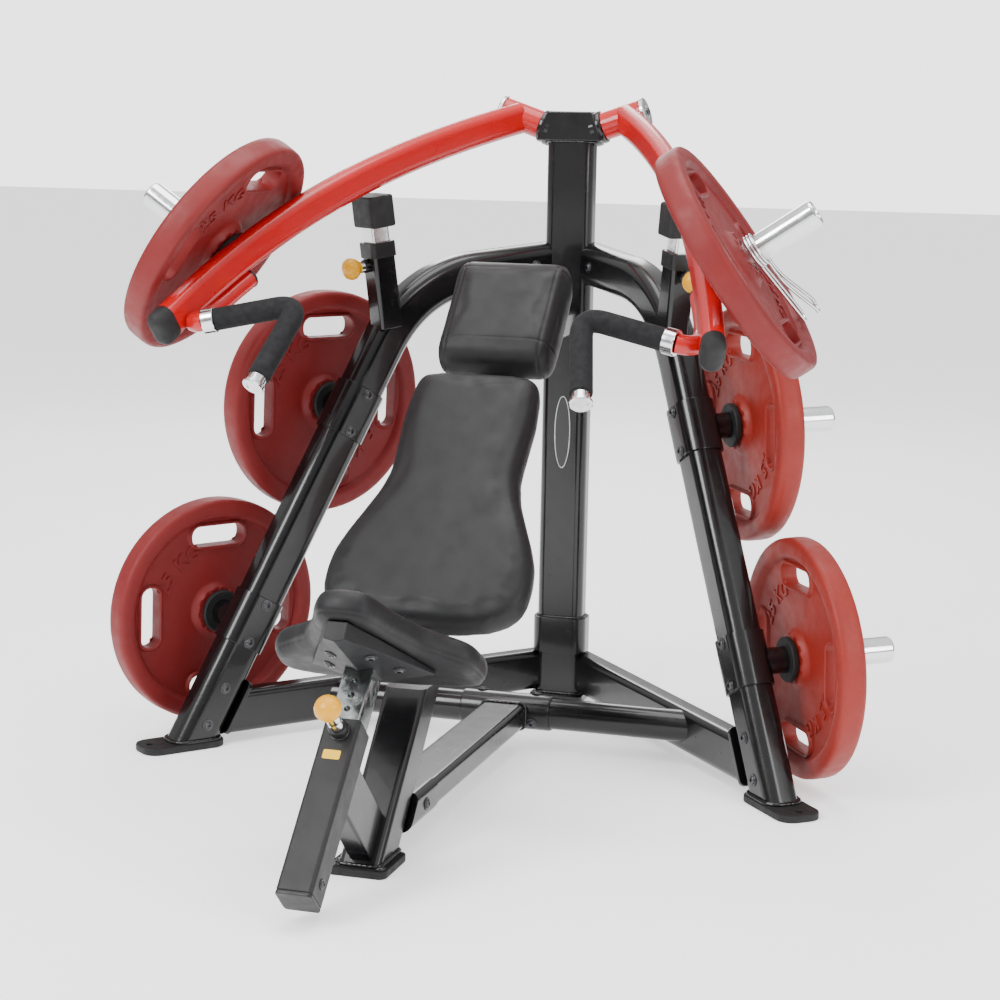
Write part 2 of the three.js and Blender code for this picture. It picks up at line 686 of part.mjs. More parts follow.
// Wire clip that grips a horn beside its plate: a coil and two looped handles.
function clipSolid() {
  const wire = 3;
  const coil = turned([[25.4, 27], [31.4, 27], [31.4, 49], [25.4, 49], [25.4, 27]], 20);
  const loop = (low, lean) => sweep(circle(wire, 8), [
    v(26, 12, low), v(90, 14, low), v(170, 15, low + lean), v(192, 8, low + lean),
    v(192, -8, low + lean), v(170, -15, low + lean), v(90, -14, low), v(26, -12, low),
  ]);
  const turn = new THREE.Matrix4().makeRotationZ(CLIP_ANGLE);
  return move(join(coil, loop(31, 0), loop(45, 14)), turn);
}

function addPlates(left, right) {
  const plate = plateSolid();
  const clip = clipSolid();
  const centre = v(...ARM_PLATE_CENTRE);
  const axis = v(...ARM_PLATE_AXIS).normalize();
  const storageAxis = v(...STORAGE_AXIS).normalize();
  const horn = rod(v(0, 0, -PLATE_HALF - 1 + GAP), v(0, 0, 175), HORN_RADIUS, 20);
  const hornEnd = rod(v(0, 0, 175), v(0, 0, 178), HORN_RADIUS - 3, 20);
  for (const [label, parent] of [['left', left], ['right', right]]) {
    const armPlace = frame(centre, Z.clone().cross(axis), axis);
    const armPlate = group(`${label}_arm_plate_place`, parent, armPlace);
    add(armPlate, `${label}_arm_plate`, plate, 'coating');
    add(armPlate, `${label}_spring_clip`, clip, 'chrome');
    for (const station of STORAGE) {
      const place = frame(v(...station.centre), Z.clone().cross(storageAxis), storageAxis);
      const spot = group(`${label}_${station.name}_storage_place`, parent, place);
      add(spot, `${label}_${station.name}_storage_horn`, join(horn, hornEnd), 'chrome');
      add(spot, `${label}_${station.name}_storage_plate`, plate, 'coating');
    }
  }
}

const machine = group('machine', object);
machine.position.z = -FLOOR;
const left = group('left_side', machine);
const right = group('right_side', machine);
right.scale.x = -1;
addMast(machine);
addBase(machine);
addLegs(left, right);
addStops(left, right);
addGuide(machine);
addSeat(machine);
addBack(machine);
addArms(left, right);
addPlates(left, right);

export default object;
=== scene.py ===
import json
import math

import bmesh
import bpy
from mathutils import Matrix, Vector, noise


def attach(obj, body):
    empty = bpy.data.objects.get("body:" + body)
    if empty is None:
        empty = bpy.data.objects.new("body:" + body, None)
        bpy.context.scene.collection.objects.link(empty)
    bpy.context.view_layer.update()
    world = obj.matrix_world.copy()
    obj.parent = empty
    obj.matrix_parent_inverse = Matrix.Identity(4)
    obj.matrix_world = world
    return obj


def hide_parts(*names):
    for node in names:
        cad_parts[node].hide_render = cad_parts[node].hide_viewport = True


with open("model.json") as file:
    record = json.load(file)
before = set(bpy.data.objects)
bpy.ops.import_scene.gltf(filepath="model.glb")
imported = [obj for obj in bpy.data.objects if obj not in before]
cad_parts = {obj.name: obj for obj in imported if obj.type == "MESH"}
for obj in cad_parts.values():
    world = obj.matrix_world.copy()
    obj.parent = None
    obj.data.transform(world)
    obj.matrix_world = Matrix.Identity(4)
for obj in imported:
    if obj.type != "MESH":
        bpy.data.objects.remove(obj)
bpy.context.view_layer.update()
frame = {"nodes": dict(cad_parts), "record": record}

# Drawings are in millimetres, with the floor 10 mm up. +Z is up and the user faces -Y.
FLOOR = 10
TO_SCENE = Matrix.Diagonal((0.001, 0.001, 0.001, 1)) @ Matrix.Translation((0, 0, -FLOOR))
X, Y, Z = Vector((1, 0, 0)), Vector((0, 1, 0)), Vector((0, 0, 1))
SIDES = ((1, "left"), (-1, "right"))


# ---- materials
def srgb(red, green, blue):
    def linear(value):
        value /= 255
        return value / 12.92 if value < 0.04045 else ((value + 0.055) / 1.055) ** 2.4

    return (linear(red), linear(green), linear(blue))


def fill_in(node, values):
    """Sets a shader node's own sockets."""
    for key, value in values.items():
        node.inputs[key].default_value = value


class Shader:
    """A material being built from nodes, with the pattern read in the piece's own metres."""

    def __init__(self, name, roughness, metallic=0.0, specular=0.5, coat=0.0, coat_roughness=0.1):
        self.material = bpy.data.materials.new(name)
        self.material.use_nodes = True
        self.nodes = self.material.node_tree.nodes
        self.links = self.material.node_tree.links
        self.surface = self.nodes["Principled BSDF"]
        fill_in(self.surface, {"Roughness": roughness, "Metallic": metallic, "Coat Weight": coat,
                               "Specular IOR Level": specular, "Coat Roughness": coat_roughness})
        self.place = self.nodes.new("ShaderNodeTexCoord").outputs["Object"]
        self.height = None

    def noise(self, scale, detail=4.0, stretch=(1, 1, 1)):
        place = self.nodes.new("ShaderNodeMapping")
        fill_in(place, {"Scale": stretch})
        self.links.new(self.place, place.inputs["Vector"])
        texture = self.nodes.new("ShaderNodeTexNoise")
        fill_in(texture, {"Scale": scale, "Detail": detail})
        self.links.new(place.outputs["Vector"], texture.inputs["Vector"])
        return texture.outputs["Fac"]

    def cells(self, scale, feature="F1"):
        texture = self.nodes.new("ShaderNodeTexVoronoi")
        texture.feature = feature
        fill_in(texture, {"Scale": scale})
        self.links.new(self.place, texture.inputs["Vector"])
        return texture.outputs["Distance"]

    def spread(self, value, low, high, start=0.3, stop=0.7):
        span = self.nodes.new("ShaderNodeMapRange")
        fill_in(span, {"From Min": start, "From Max": stop, "To Min": low, "To Max": high})
        self.links.new(value, span.inputs["Value"])
        return span.outputs["Result"]

    def blend(self, factor, first, second):
        mix = self.nodes.new("ShaderNodeMix")
        mix.data_type = "RGBA"
        self.links.new(factor, mix.inputs["Factor"])
        for socket, colour in ((mix.inputs[6], first), (mix.inputs[7], second)):
            if isinstance(colour, tuple):
                socket.default_value = (*colour, 1)
            else:
                self.links.new(colour, socket)
        return mix.outputs[2]

    def paint(self, colour):
        self.links.new(colour, self.surface.inputs["Base Color"])

    def rough(self, value):
        self.links.new(value, self.surface.inputs["Roughness"])

    def bump(self, value, strength, distance):
        node = self.nodes.new("ShaderNodeBump")
        fill_in(node, {"Strength": strength, "Distance": distance})
        self.links.new(value, node.inputs["Height"])
        if self.height:
            self.links.new(self.height, node.inputs["Normal"])
        self.height = node.outputs["Normal"]
        self.links.new(self.height, self.surface.inputs["Normal"])

    def edges(self, start, stop):
        geometry = self.nodes.new("ShaderNodeNewGeometry")
        return self.spread(geometry.outputs["Pointiness"], 0.0, 1.0, start, stop)


def tinted(colour, factor):
    return tuple(min(1.0, part * factor) for part in colour)


def painted(name, colour, roughness, specular=0.5, coat=0.6):
    """Gloss powder coat: a fine orange peel, faint dust and lighter rubbed edges."""
    shader = Shader(name, roughness, specular=specular, coat=coat, coat_roughness=0.06)
    body = shader.blend(shader.noise(9, 3), tinted(colour, 0.88), tinted(colour, 1.12))
    dust = shader.spread(shader.noise(60, 6), 0.0, 0.012, 0.55, 0.8)
    body = shader.blend(dust, body, (0.42, 0.41, 0.40))
    rubbed = shader.spread(shader.edges(0.54, 0.64), 0.0, 0.2, 0, 1)
    body = shader.blend(rubbed, body, tinted(colour, 1.6))
    shader.paint(body)
    shader.rough(shader.spread(shader.noise(35, 5), roughness * 0.9, roughness * 1.15))
    shader.bump(shader.noise(900, 1), 0.04, 0.0001)
    return shader.material


def metal(name, colour, roughness, scale=240, stretch=(1, 1, 1), marks=0.1):
    """Plated steel with faint handling marks, as deep as marks says."""
    shader = Shader(name, roughness, metallic=1.0)
    shader.paint(shader.blend(shader.noise(25, 5), tinted(colour, 0.9), colour))
    shader.rough(shader.spread(shader.noise(70, 7), roughness * 0.6, roughness * 1.8))
    shader.bump(shader.noise(scale, 6, stretch), marks, 0.0002)
    return shader.material


def moulded(name, colour, roughness, grain=1100, depth=0.35, specular=0.4, wear=1.5):
    """Rubber or plastic with a fine moulded grain, patchy sheen and rubbed edges."""
    shader = Shader(name, roughness, specular=specular)
    body = shader.blend(shader.noise(14, 5), tinted(colour, 0.82), tinted(colour, 1.18))
    patches = shader.spread(shader.noise(160, 6), 0.0, 0.25, 0.5, 0.75)
    body = shader.blend(patches, body, tinted(colour, 1.5))
    body = shader.blend(shader.edges(0.52, 0.6), body, tinted(colour, wear))
    shader.paint(body)
    shader.rough(shader.spread(shader.noise(45, 6), roughness * 0.85, min(1, roughness * 1.2)))
    shader.bump(shader.noise(grain, 4), depth, 0.0003)
    shader.bump(shader.noise(30, 3), 0.15, 0.0008)
    return shader.material


def vinyl(name, colour):
    """Upholstery vinyl: a pebble grain of small cells, soft creases and a satin sheen."""
    shader = Shader(name, 0.5, specular=0.3, coat=0.04, coat_roughness=0.4)
    body = shader.blend(shader.noise(11, 4), tinted(colour, 0.85), tinted(colour, 1.2))
    pores = shader.spread(shader.cells(620), 0.25, 0.0, 0.0, 0.35)
    shader.paint(shader.blend(pores, body, tinted(colour, 0.45)))
    shader.rough(shader.spread(shader.noise(28, 5), 0.42, 0.6))
    shader.bump(shader.noise(26, 4, (1, 1, 0.6)), 0.3, 0.0012)
    shader.bump(shader.cells(620, "DISTANCE_TO_EDGE"), 0.35, 0.0004)
    shader.bump(shader.noise(1800, 3), 0.2, 0.0001)
    return shader.material


def foam(name, colour):
    """Closed-cell foam sleeve: matt, with open pores and long soft streaks."""
    shader = Shader(name, 0.85, specular=0.3)
    body = shader.blend(shader.noise(70, 6), tinted(colour, 0.75), tinted(colour, 1.35))
    pores = shader.spread(shader.cells(1500), 0.5, 0.0, 0.0, 0.3)
    shader.paint(shader.blend(pores, body, tinted(colour, 0.4)))
    shader.rough(shader.spread(shader.noise(90, 5), 0.72, 0.95))
    shader.bump(shader.cells(1500), 0.5, 0.0003)
    shader.bump(shader.noise(500, 5), 0.4, 0.0004)
    return shader.material


LOOKS = {
    "black": painted("black_powder_coat", srgb(10, 10, 12), 0.24, specular=0.38, coat=0.25),
    "red": painted("red_powder_coat", srgb(178, 1, 4), 0.3, specular=0.35, coat=0.4),
    "charcoal": painted("charcoal_coat", srgb(22, 22, 24), 0.46, specular=0.35, coat=0.05),
    "chrome": metal("chrome_plate", (0.78, 0.79, 0.80), 0.13),
    "satin": metal("satin_steel", (0.62, 0.63, 0.64), 0.3, 900, (1, 1, 12)),
    "post": metal("post_chrome", (0.36, 0.38, 0.38), 0.16, marks=0.015),
    "satin_black": painted("satin_black_coat", srgb(20, 20, 22), 0.5, specular=0.3, coat=0.0),
    "bolt": metal("blackened_bolt", (0.09, 0.09, 0.095), 0.34),
    "coating": moulded("plate_rubber", srgb(112, 17, 17), 0.52, 700, 0.25, wear=1.25),
    "coating_warm": moulded("plate_rubber_warm", srgb(134, 32, 22), 0.5, 700, 0.25, wear=1.25),
    "rubber": moulded("black_rubber", srgb(18, 18, 19), 0.62),
    "plastic": moulded("black_plastic", srgb(16, 16, 18), 0.42, grain=1600, depth=0.3),
    "amber": moulded("amber_knob", srgb(216, 152, 4), 0.3, grain=900, depth=0.08, wear=1.15),
    "vinyl": vinyl("charcoal_vinyl", srgb(18, 18, 20)),
    "foam": foam("grip_foam", srgb(22, 22, 24)),
    "label": moulded("plain_label", srgb(232, 186, 2), 0.4, grain=500, depth=0.05, wear=1.1),
    "badge": painted("badge_face", srgb(26, 26, 29), 0.3, coat=0.3),
}


# ---- drawing helpers
def axes(origin, x_axis, z_axis):
    """Matrix whose local Z runs along z_axis and whose local X is as near x_axis as it can be."""
    z = Vector(z_axis).normalized()
    y = z.cross(Vector(x_axis)).normalized()
    x = y.cross(z)
    return Matrix.Translation(Vector(origin)) @ Matrix((x, y, z)).transposed().to_4x4()


def rounded(width, height, radius, steps=6):
    """Outline of a rectangle with rounded corners."""
    points = []
    for quarter, (across, up) in enumerate(((1, -1), (1, 1), (-1, 1), (-1, -1))):
        middle = Vector((across * (width / 2 - radius), up * (height / 2 - radius)))
        for i in range(steps + 1):
            angle = math.radians(90 * (quarter - 1 + i / steps))
            points.append(middle + radius * Vector((math.cos(angle), math.sin(angle))))
    return points


def loft(mesh, rings, closed=False):
    """Skins a run of rings that have the same number of points."""
    loops = [[mesh.verts.new(point) for point in ring] for ring in rings]
    pairs = list(zip(loops, loops[1:]))
    if closed:
        pairs.append((loops[-1], loops[0]))
    for low, high in pairs:
        for i in range(len(low)):
            j = (i + 1) % len(low)
            mesh.faces.new((low[i], low[j], high[j], high[i]))
    if not closed:
        mesh.faces.new(loops[0][::-1])
        mesh.faces.new(loops[-1])
    return mesh


def slab(outline, low, high):
    """A flat outline carried straight up from one height to another."""
    return loft(bmesh.new(), [[Vector((p.x, p.y, up)) for p in outline] for up in (low, high)])


def bar(width, height, radius, length, edge=1.5, steps=6, start=0.0, rounds=2):
    """Rounded bar along local Z with softened ends."""
    turns = [math.radians(90 * i / rounds) for i in range(rounds + 1)]
    low = [(edge * (1 - math.sin(t)), edge * (1 - math.cos(t))) for t in reversed(turns)]
    ends = low + [(length - along, inset) for along, inset in reversed(low)]
    rings = []
    for along, inset in ends:
        outline = rounded(width - 2 * inset, height - 2 * inset, max(radius - inset, 0.4), steps)
        rings.append([Vector((p.x, p.y, start + along)) for p in outline])
    return loft(bmesh.new(), rings)


def hollow(size, radius, bore, length, depth=None, start=0.0):
    """Square tube along local Z, open at its far end, and at both ends unless depth is given."""
    def ring(side, corner, along):
        return [Vector((p.x, p.y, start + along)) for p in rounded(side, side, corner, 6)]

    rings = [
        ring(size - 2, radius - 1, 0), ring(size, radius, 1), ring(size, radius, length - 1),
        ring(size - 2, radius - 1, length), ring(bore + 1, 4, length), ring(bore, 4, length - 1),
    ]
    if depth:
        return loft(bmesh.new(), rings + [ring(bore, 4, length - depth)])
    return loft(bmesh.new(), rings + [ring(bore, 4, 1), ring(bore + 1, 4, 0)], closed=True)


def lathe(profile, sides=72, ripple=None):
    """Turns (radius, height) pairs about local Z. The profile ends on the axis or closes on itself."""
    mesh = bmesh.new()
    open_ended = profile[0][0] > 0.01
    loops = []
    for radius, height in profile:
        if radius < 0.01:
            loops.append([mesh.verts.new((0, 0, height))])
            continue
        ring = []
        for i in range(sides):
            angle = 2 * math.pi * i / sides
            lift = ripple(radius, angle) if ripple else 0.0
            up = height + math.copysign(lift, height)
            ring.append(mesh.verts.new((radius * math.cos(angle), radius * math.sin(angle), up)))
        loops.append(ring)
    pairs = list(zip(loops, loops[1:]))
    if open_ended:
        pairs.append((loops[-1], loops[0]))
    for low, high in pairs:
        for i in range(sides):
            j = (i + 1) % sides
            corners = [low[i % len(low)], low[j % len(low)], high[j % len(high)], high[i % len(high)]]
            kept = [c for k, c in enumerate(corners) if c not in corners[:k]]
            if len(kept) > 2:
                mesh.faces.new(kept)
    return mesh


def turned_rod(radius, low, high, edge=1.5, sides=72):
    return lathe([(0, low), (radius - edge, low), (radius, low + edge), (radius, high - edge),
                  (radius - edge, high), (0, high)], sides)


def directions(points, first_normal):
    """Tangents and normals along a path, with the normal carried along without twist."""
    last = len(points) - 1
    tangents = [(points[min(i + 1, last)] - points[max(i - 1, 0)]).normalized()
                for i in range(last + 1)]
    normal = (first_normal - tangents[0] * first_normal.dot(tangents[0])).normalized()
    normals = [normal]
    for before, after in zip(tangents, tangents[1:]):
        normal = before.rotation_difference(after) @ normal
        normal = (normal - after * normal.dot(after)).normalized()
        normals.append(normal)
    return tangents, normals


def sweep(outline, points, first_normal, edge=0.0):
    """Carries an outline along a path. edge rounds both ends."""
    tangents, normals = directions(points, first_normal)
    rings = []
    stations = [(i, 0.0, 1.0) for i in range(len(points))]
    if edge:
        reach = max(p.length for p in outline)
        caps = [(edge * (1 - math.sin(t)), 1 - edge * (1 - math.cos(t)) / reach)
                for t in (math.radians(a) for a in (90, 60, 30))]
        stations = ([(0, back - edge, size) for back, size in caps] + stations
                    + [(len(points) - 1, edge - back, size) for back, size in reversed(caps)])
    for i, along, size in stations:
        side = tangents[i].cross(normals[i])
        middle = points[i] + tangents[i] * along
        rings.append([middle + (normals[i] * p.x + side * p.y) * size for p in outline])
    return loft(bmesh.new(), rings)


def circle(radius, sides=28):
    return [radius * Vector((math.cos(2 * math.pi * i / sides), math.sin(2 * math.pi * i / sides)))
            for i in range(sides)]


def bezier(corners, count):
    """Evenly spaced points on a cubic or quadratic Bezier curve."""
    def at(t):
        points = [Vector(c) for c in corners]
        while len(points) > 1:
            points = [a.lerp(b, t) for a, b in zip(points, points[1:])]
        return points[0]

    fine = [at(i / 400) for i in range(401)]
    lengths = [0.0]
    for a, b in zip(fine, fine[1:]):
        lengths.append(lengths[-1] + (b - a).length)
    spaced, k = [], 0
    for i in range(count + 1):
        target = lengths[-1] * i / count
        while k < 399 and lengths[k + 1] < target:
            k += 1
        spaced.append(fine[k].lerp(fine[k + 1], (target - lengths[k]) / (lengths[k + 1] - lengths[k])))
    return spaced


def slice_off(mesh, point, normal):
    """Removes what lies beyond a plane and closes the cut."""
    everything = mesh.verts[:] + mesh.edges[:] + mesh.faces[:]
    bmesh.ops.bisect_plane(mesh, geom=everything, plane_co=point, plane_no=normal, clear_outer=True)
    rim = [edge for edge in mesh.edges if edge.is_boundary]
    bmesh.ops.holes_fill(mesh, edges=rim, sides=0)


def merged(*meshes):
    """One drawing from several, each of them a closed shell."""
    whole = meshes[0]
    for part in meshes[1:]:
        spare = bpy.data.meshes.new("spare")
        part.to_mesh(spare)
        whole.from_mesh(spare)
        bpy.data.meshes.remove(spare)
        part.free()
    return whole


def shift(mesh, matrix):
    mesh.transform(matrix)
    return mesh


def linked(name, data):
    """A new object of the scene."""
    obj = bpy.data.objects.new(name, data)
    bpy.context.scene.collection.objects.link(obj)
    return obj


def stored(mesh, name):
    """Turns a drawing into an object."""
    data = bpy.data.meshes.new(name)
    mesh.to_mesh(data)
    mesh.free()
    return linked(name, data)


def evaluated(obj):
    """The object's mesh as its modifiers leave it."""
    return bpy.data.meshes.new_from_object(obj.evaluated_get(bpy.context.evaluated_depsgraph_get()))


def settle(obj):
    data = evaluated(obj)
    obj.modifiers.clear()
    obj.data = data


def piece(name, body, mesh, look, side=1, at=None, node=None, sharp=38, scaled=True):
    """Makes a drawing into a piece on a body, in place of a CAD node if one is named."""
    matrix = Matrix.Diagonal((side, 1, 1, 1)) @ (at or Matrix())
    mesh.transform(TO_SCENE @ matrix if scaled else matrix)
    bmesh.ops.recalc_face_normals(mesh, faces=mesh.faces)
    for face in mesh.faces:
        face.smooth = True
    for edge in mesh.edges:
        edge.smooth = edge.calc_face_angle(0) < math.radians(sharp)
    obj = stored(mesh, name)
    obj.data.materials.append(LOOKS[look])
    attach(obj, body)
    obj.modifiers.new("even", "WEIGHTED_NORMAL").keep_sharp = True
    settle(obj)
    if node:
        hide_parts(node)


def worked(mesh, *steps):
    """Runs modifiers over a drawing. Each step is a type with its settings."""
    obj = stored(mesh, "spare")
    for kind, values in steps:
        modifier = obj.modifiers.new(kind, kind)
        for key, value in values.items():
            setattr(modifier, key, value)
    settle(obj)
    result = bmesh.new()
    result.from_mesh(obj.data)
    bpy.data.objects.remove(obj)
    return result


def cut_away(mesh, tool):
    """Takes a tool's shape out of a drawing."""
    bmesh.ops.recalc_face_normals(tool, faces=tool.faces)
    bmesh.ops.recalc_face_normals(mesh, faces=mesh.faces)
    blade = stored(tool, "tool")
    result = worked(mesh, ("BOOLEAN", {"operation": "DIFFERENCE", "solver": "EXACT", "object": blade}))
    bpy.data.objects.remove(blade)
    return result


def refined(node, body, look, bevel, name, limit=30):
    """Makes a CAD node's own shape into a piece, with its sharp edges broken."""
    mesh = bmesh.new()
    mesh.from_mesh(frame["nodes"][node].data)
    bmesh.ops.remove_doubles(mesh, verts=mesh.verts, dist=1e-5)
    bmesh.ops.dissolve_limit(mesh, angle_limit=math.radians(1), verts=mesh.verts, edges=mesh.edges)
    mesh = worked(mesh, ("BEVEL", {"width": bevel / 1000, "segments": 2, "limit_method": "ANGLE",
                                   "angle_limit": math.radians(limit), "harden_normals": False}))
    piece(name, body, mesh, look, node=node, scaled=False, sharp=50)


def bolt(point, normal, radius=7.5, washer=True):
    """Button head with a hexagonal socket, on a washer."""
    def hexagon(reach, angle):
        return reach / math.cos((angle % (math.pi / 3)) - math.pi / 6)

    sides, loops = 36, []
    height = radius * 0.62
    rows = [(radius, 0.0, 0), (radius, height * 0.35, 0), (radius * 0.93, height * 0.72, 0),
            (radius * 0.75, height * 0.95, 0), (radius * 0.62, height, 0), (radius * 0.43, height, 1),
            (radius * 0.43, height * 0.35, 1)]
    for reach, up, faceted in rows:
        ring = []
        for i in range(sides):
            angle = 2 * math.pi * i / sides
            far = hexagon(reach, angle) if faceted else reach
            ring.append(Vector((far * math.cos(angle), far * math.sin(angle), up)))
        loops.append(ring)
    mesh = loft(bmesh.new(), loops)
    if washer:
        rim = radius * 1.42
        merged(mesh, lathe([(0, -0.3), (rim, -0.3), (rim, 1.2), (radius * 1.36, 1.7), (0, 1.7)], 40))
    across = X if abs(Vector(normal).normalized().x) < 0.9 else Y
    return shift(mesh, axes(point, across, normal))


def bead(points, radius=3.4):
    """Weld bead along a closed run of points, with the ripple of each pass."""
    run = []
    for a, b in zip(points, points[1:] + points[:1]):
        steps = max(1, round((b - a).length / 3.0))
        run += [a.lerp(b, i / steps) for i in range(steps)]
    middle = sum(run, Vector()) / len(run)
    rings = []
    for i, point in enumerate(run):
        along = (run[(i + 1) % len(run)] - run[i - 1]).normalized()
        out = point - middle
        out = (out - along * out.dot(along)).normalized()
        side = along.cross(out)
        size = radius * (1 + 0.13 * math.sin(i * 2.1) + 0.1 * noise.noise(point * 0.2))
        rings.append([point + (out * p.x + side * p.y) * size for p in circle(1.0, 8)])
    return loft(bmesh.new(), rings, closed=True)


def ring_of(outline, at):
    """A flat outline put in place, as a run of points."""
    return [at @ Vector((p.x, p.y, 0)) for p in outline]


# ---- shared places
LEG_YAW = math.radians(-50.2)
LEG_OUT = Vector((math.cos(LEG_YAW), math.sin(LEG_YAW), 0))
LEG_NORMAL = Vector((-math.sin(LEG_YAW), math.cos(LEG_YAW), 0))
LEG_FRAME = axes((0, 60, 0), LEG_OUT, Z)
LEG_SLOPE = -0.558
LEG_WIDTH, LEG_DEPTH, LEG_CORNER = 85, 68, 25
LEG_RISE = Vector((LEG_SLOPE, 0, 1)).normalized()
LEG_ACROSS = Vector((1, 0, -LEG_SLOPE)).normalized()
FOOT_HEIGHT = 14
FOOT_TOP = FLOOR + FOOT_HEIGHT + 0.3
MAST_WIDTH, MAST_DEPTH, MAST_CORNER = 98, 60, 20
BEAM_LOW, BEAM_HIGH, BEAM_DEPTH = 28, 112, 50
PIVOT_AXIS = Vector((math.cos(math.radians(19)), 0, math.sin(math.radians(19))))
PIVOT_FRAME = axes((0, 0, 1198.1), Y, PIVOT_AXIS)
UPRIGHT_BASE = Vector((0, -1253, 18))
UPRIGHT_RISE = Vector((0, 0.6698, 0.7426))
UPRIGHT_BACK = Vector((0, 0.7426, -0.6698))
GUIDE_FRAME = axes((0, -1299, 270.9), X, (0, 0.694, 0.72))
GUIDE_SIZE, STOP_SIZE = 60, 50
SEAT_FRAME = axes((0, -1341, 452), X, (0, 0.537, 0.843))
BACK_FRAME = axes((0, -632, 774), X, (0, -0.74, 0.673))
HEAD_CENTRE = 176
CROSS_Y, CROSS_Z = -390, 77
HORN_RADIUS = 25
STORAGE_AXIS = Vector((0.828, 0.559, 0.04)).normalized()
STATIONS = (("mid", Vector((436.6, -293.5, 660.2)), 650), ("low", Vector((594, -483.5, 254.4)), 247))
ARM_PLATE_AXIS = Vector((0.827, 0.042, 0.561)).normalized()
ARM_PLATE_CENTRE = Vector((487.4, -708.2, 994))
ARM_CORNERS = [(113, -10, 1234), (263, -257, 1170), (398, -581, 1074), (490, -912, 866)]
ARM_STEPS, HANDLE_START, HANDLE_END = 56, 44, 48
HANDLE_DROP, HANDLE_RADIUS, GRIP_RADIUS = 48, 17, 20
GRIP_RING = Vector((417, -895, 870))
GRIP_CORNER = Vector((255, -871, 904))
GRIP_TIP = Vector((287, -983, 785))
PLATE_HALF, PLATE_WEB, SLOT_REACH = 25, 11, 152

frame_bolts = bmesh.new()
frame_welds = bmesh.new()


def leg_at(z):
    """The leg's middle line at a height, in LEG_FRAME."""
    return Vector((911.5 + LEG_SLOPE * z, 0, z))


def fasten(point, normal, radius=7.5, both=True):
    """A bolt head on the frame, and its twin on the other side of the machine."""
    for side in ((1, -1) if both else (1,)):
        merged(frame_bolts, bolt(Vector((point[0] * side, *point[1:])),
                                 Vector((normal[0] * side, *normal[1:])), radius))


def weld(points, radius=3.4, both=True):
    """A weld bead on the frame, and its twin on the other side of the machine."""
    for side in ((1, -1) if both else (1,)):
        merged(frame_welds, bead([Vector((p.x * side, p.y, p.z)) for p in points], radius))


# ---- mast, legs and base
def horn_profile(low, high):
    """Plate horn with a hollow end, for lathe."""
    side = [(0, low), (HORN_RADIUS, low), (HORN_RADIUS, high - 5)]
    return side + [(22, high), (14, high), (12, high - 3), (0, high - 3)]


def flange_profile(low):
    """Rubber ring that a plate leans on, for lathe."""
    return [(25.2, low), (40, low), (42.5, low + 2), (42.5, -28.5), (41, -26), (25.2, -26)]


def make_mast():
    tube = bar(MAST_WIDTH, MAST_DEPTH, MAST_CORNER, 1180, 1, 8, FLOOR)
    sleeve = bar(MAST_WIDTH + 16, MAST_DEPTH + 16, MAST_CORNER + 6, 76, 2, 8, 114)
    mast = merged(tube, sleeve, bar(116, 96, 16, FOOT_HEIGHT, 2, 6, FLOOR))
    piece("mast_tube", "frame", mast, "black", node="mast")
    for height, reach, radius in ((190.5, 1, 3), (25, 1, 4), (1189, 2, 2.6)):
        outline = rounded(MAST_WIDTH + reach, MAST_DEPTH + reach, MAST_CORNER)
        weld(ring_of(outline, Matrix.Translation((0, 0, height))), radius, False)

    side = [(-69, 1190.3), (69, 1190.3), (50, 1242), (44, 1250), (-44, 1250), (-50, 1242)]
    head = loft(bmesh.new(), [[Vector((x, y, z)) for x, z in side] for y in (-35, 35)])
    head = worked(head, ("BEVEL", {"width": 3.0, "segments": 4, "limit_method": "ANGLE"}))
    piece("mast_head_housing", "frame", head, "black", node="mast_head")
    flange = [(15, 46), (36, 46), (36, 55), (33, 58), (33, 61), (34, 62), (34, 68), (32.5, 70),
              (15, 70)]
    disc = [(0, 156.5), (30, 156.5), (31, 157.5), (31, 163), (29, 165), (13, 165), (12, 164), (0, 164)]
    for sign, label in SIDES:
        piece(f"{label}_pivot_flange", "frame", lathe(flange), "black", sign, PIVOT_FRAME)
        plate = merged(lathe(disc), lathe([(0, 164), (9.5, 164), (9.5, 164.8), (0, 164.8)], 48))
        piece(f"{label}_pivot_cap", body_of(f"{label}_pivot_disc"), plate, "satin", sign,
              PIVOT_FRAME, f"{label}_pivot_disc")
        screw = bolt((0, 0, 164.6), Z, 8, False)
        piece(f"{label}_pivot_screw", body_of(f"{label}_pivot_disc"), screw, "bolt", sign, PIVOT_FRAME)

    badge = [Vector((17 * p.x, 76 * p.y)) for p in circle(1, 64)]
    on_mast = axes((0, -MAST_DEPTH / 2 - 0.1, 587), X, -Y)
    rim = loft(bmesh.new(), [
        [Vector((p.x * k, p.y * (1 - (1 - k) * 0.22), h)) for p in badge]
        for k, h in ((0.9, 0), (1, 0), (1, 0.8), (0.9, 0.8))], closed=True)
    piece("badge_rim", "frame", rim, "satin", at=on_mast)
    face = slab([Vector((p.x * 0.9, p.y * 0.978)) for p in badge], 0, 0.5)
    piece("badge_face", "frame", face, "badge", at=on_mast)


def body_of(node):
    """The body that a CAD node rides on."""
    bodies = frame["record"]["behaviour"]["bodies"]
    return next(body for body, nodes in bodies.items() if node in nodes)


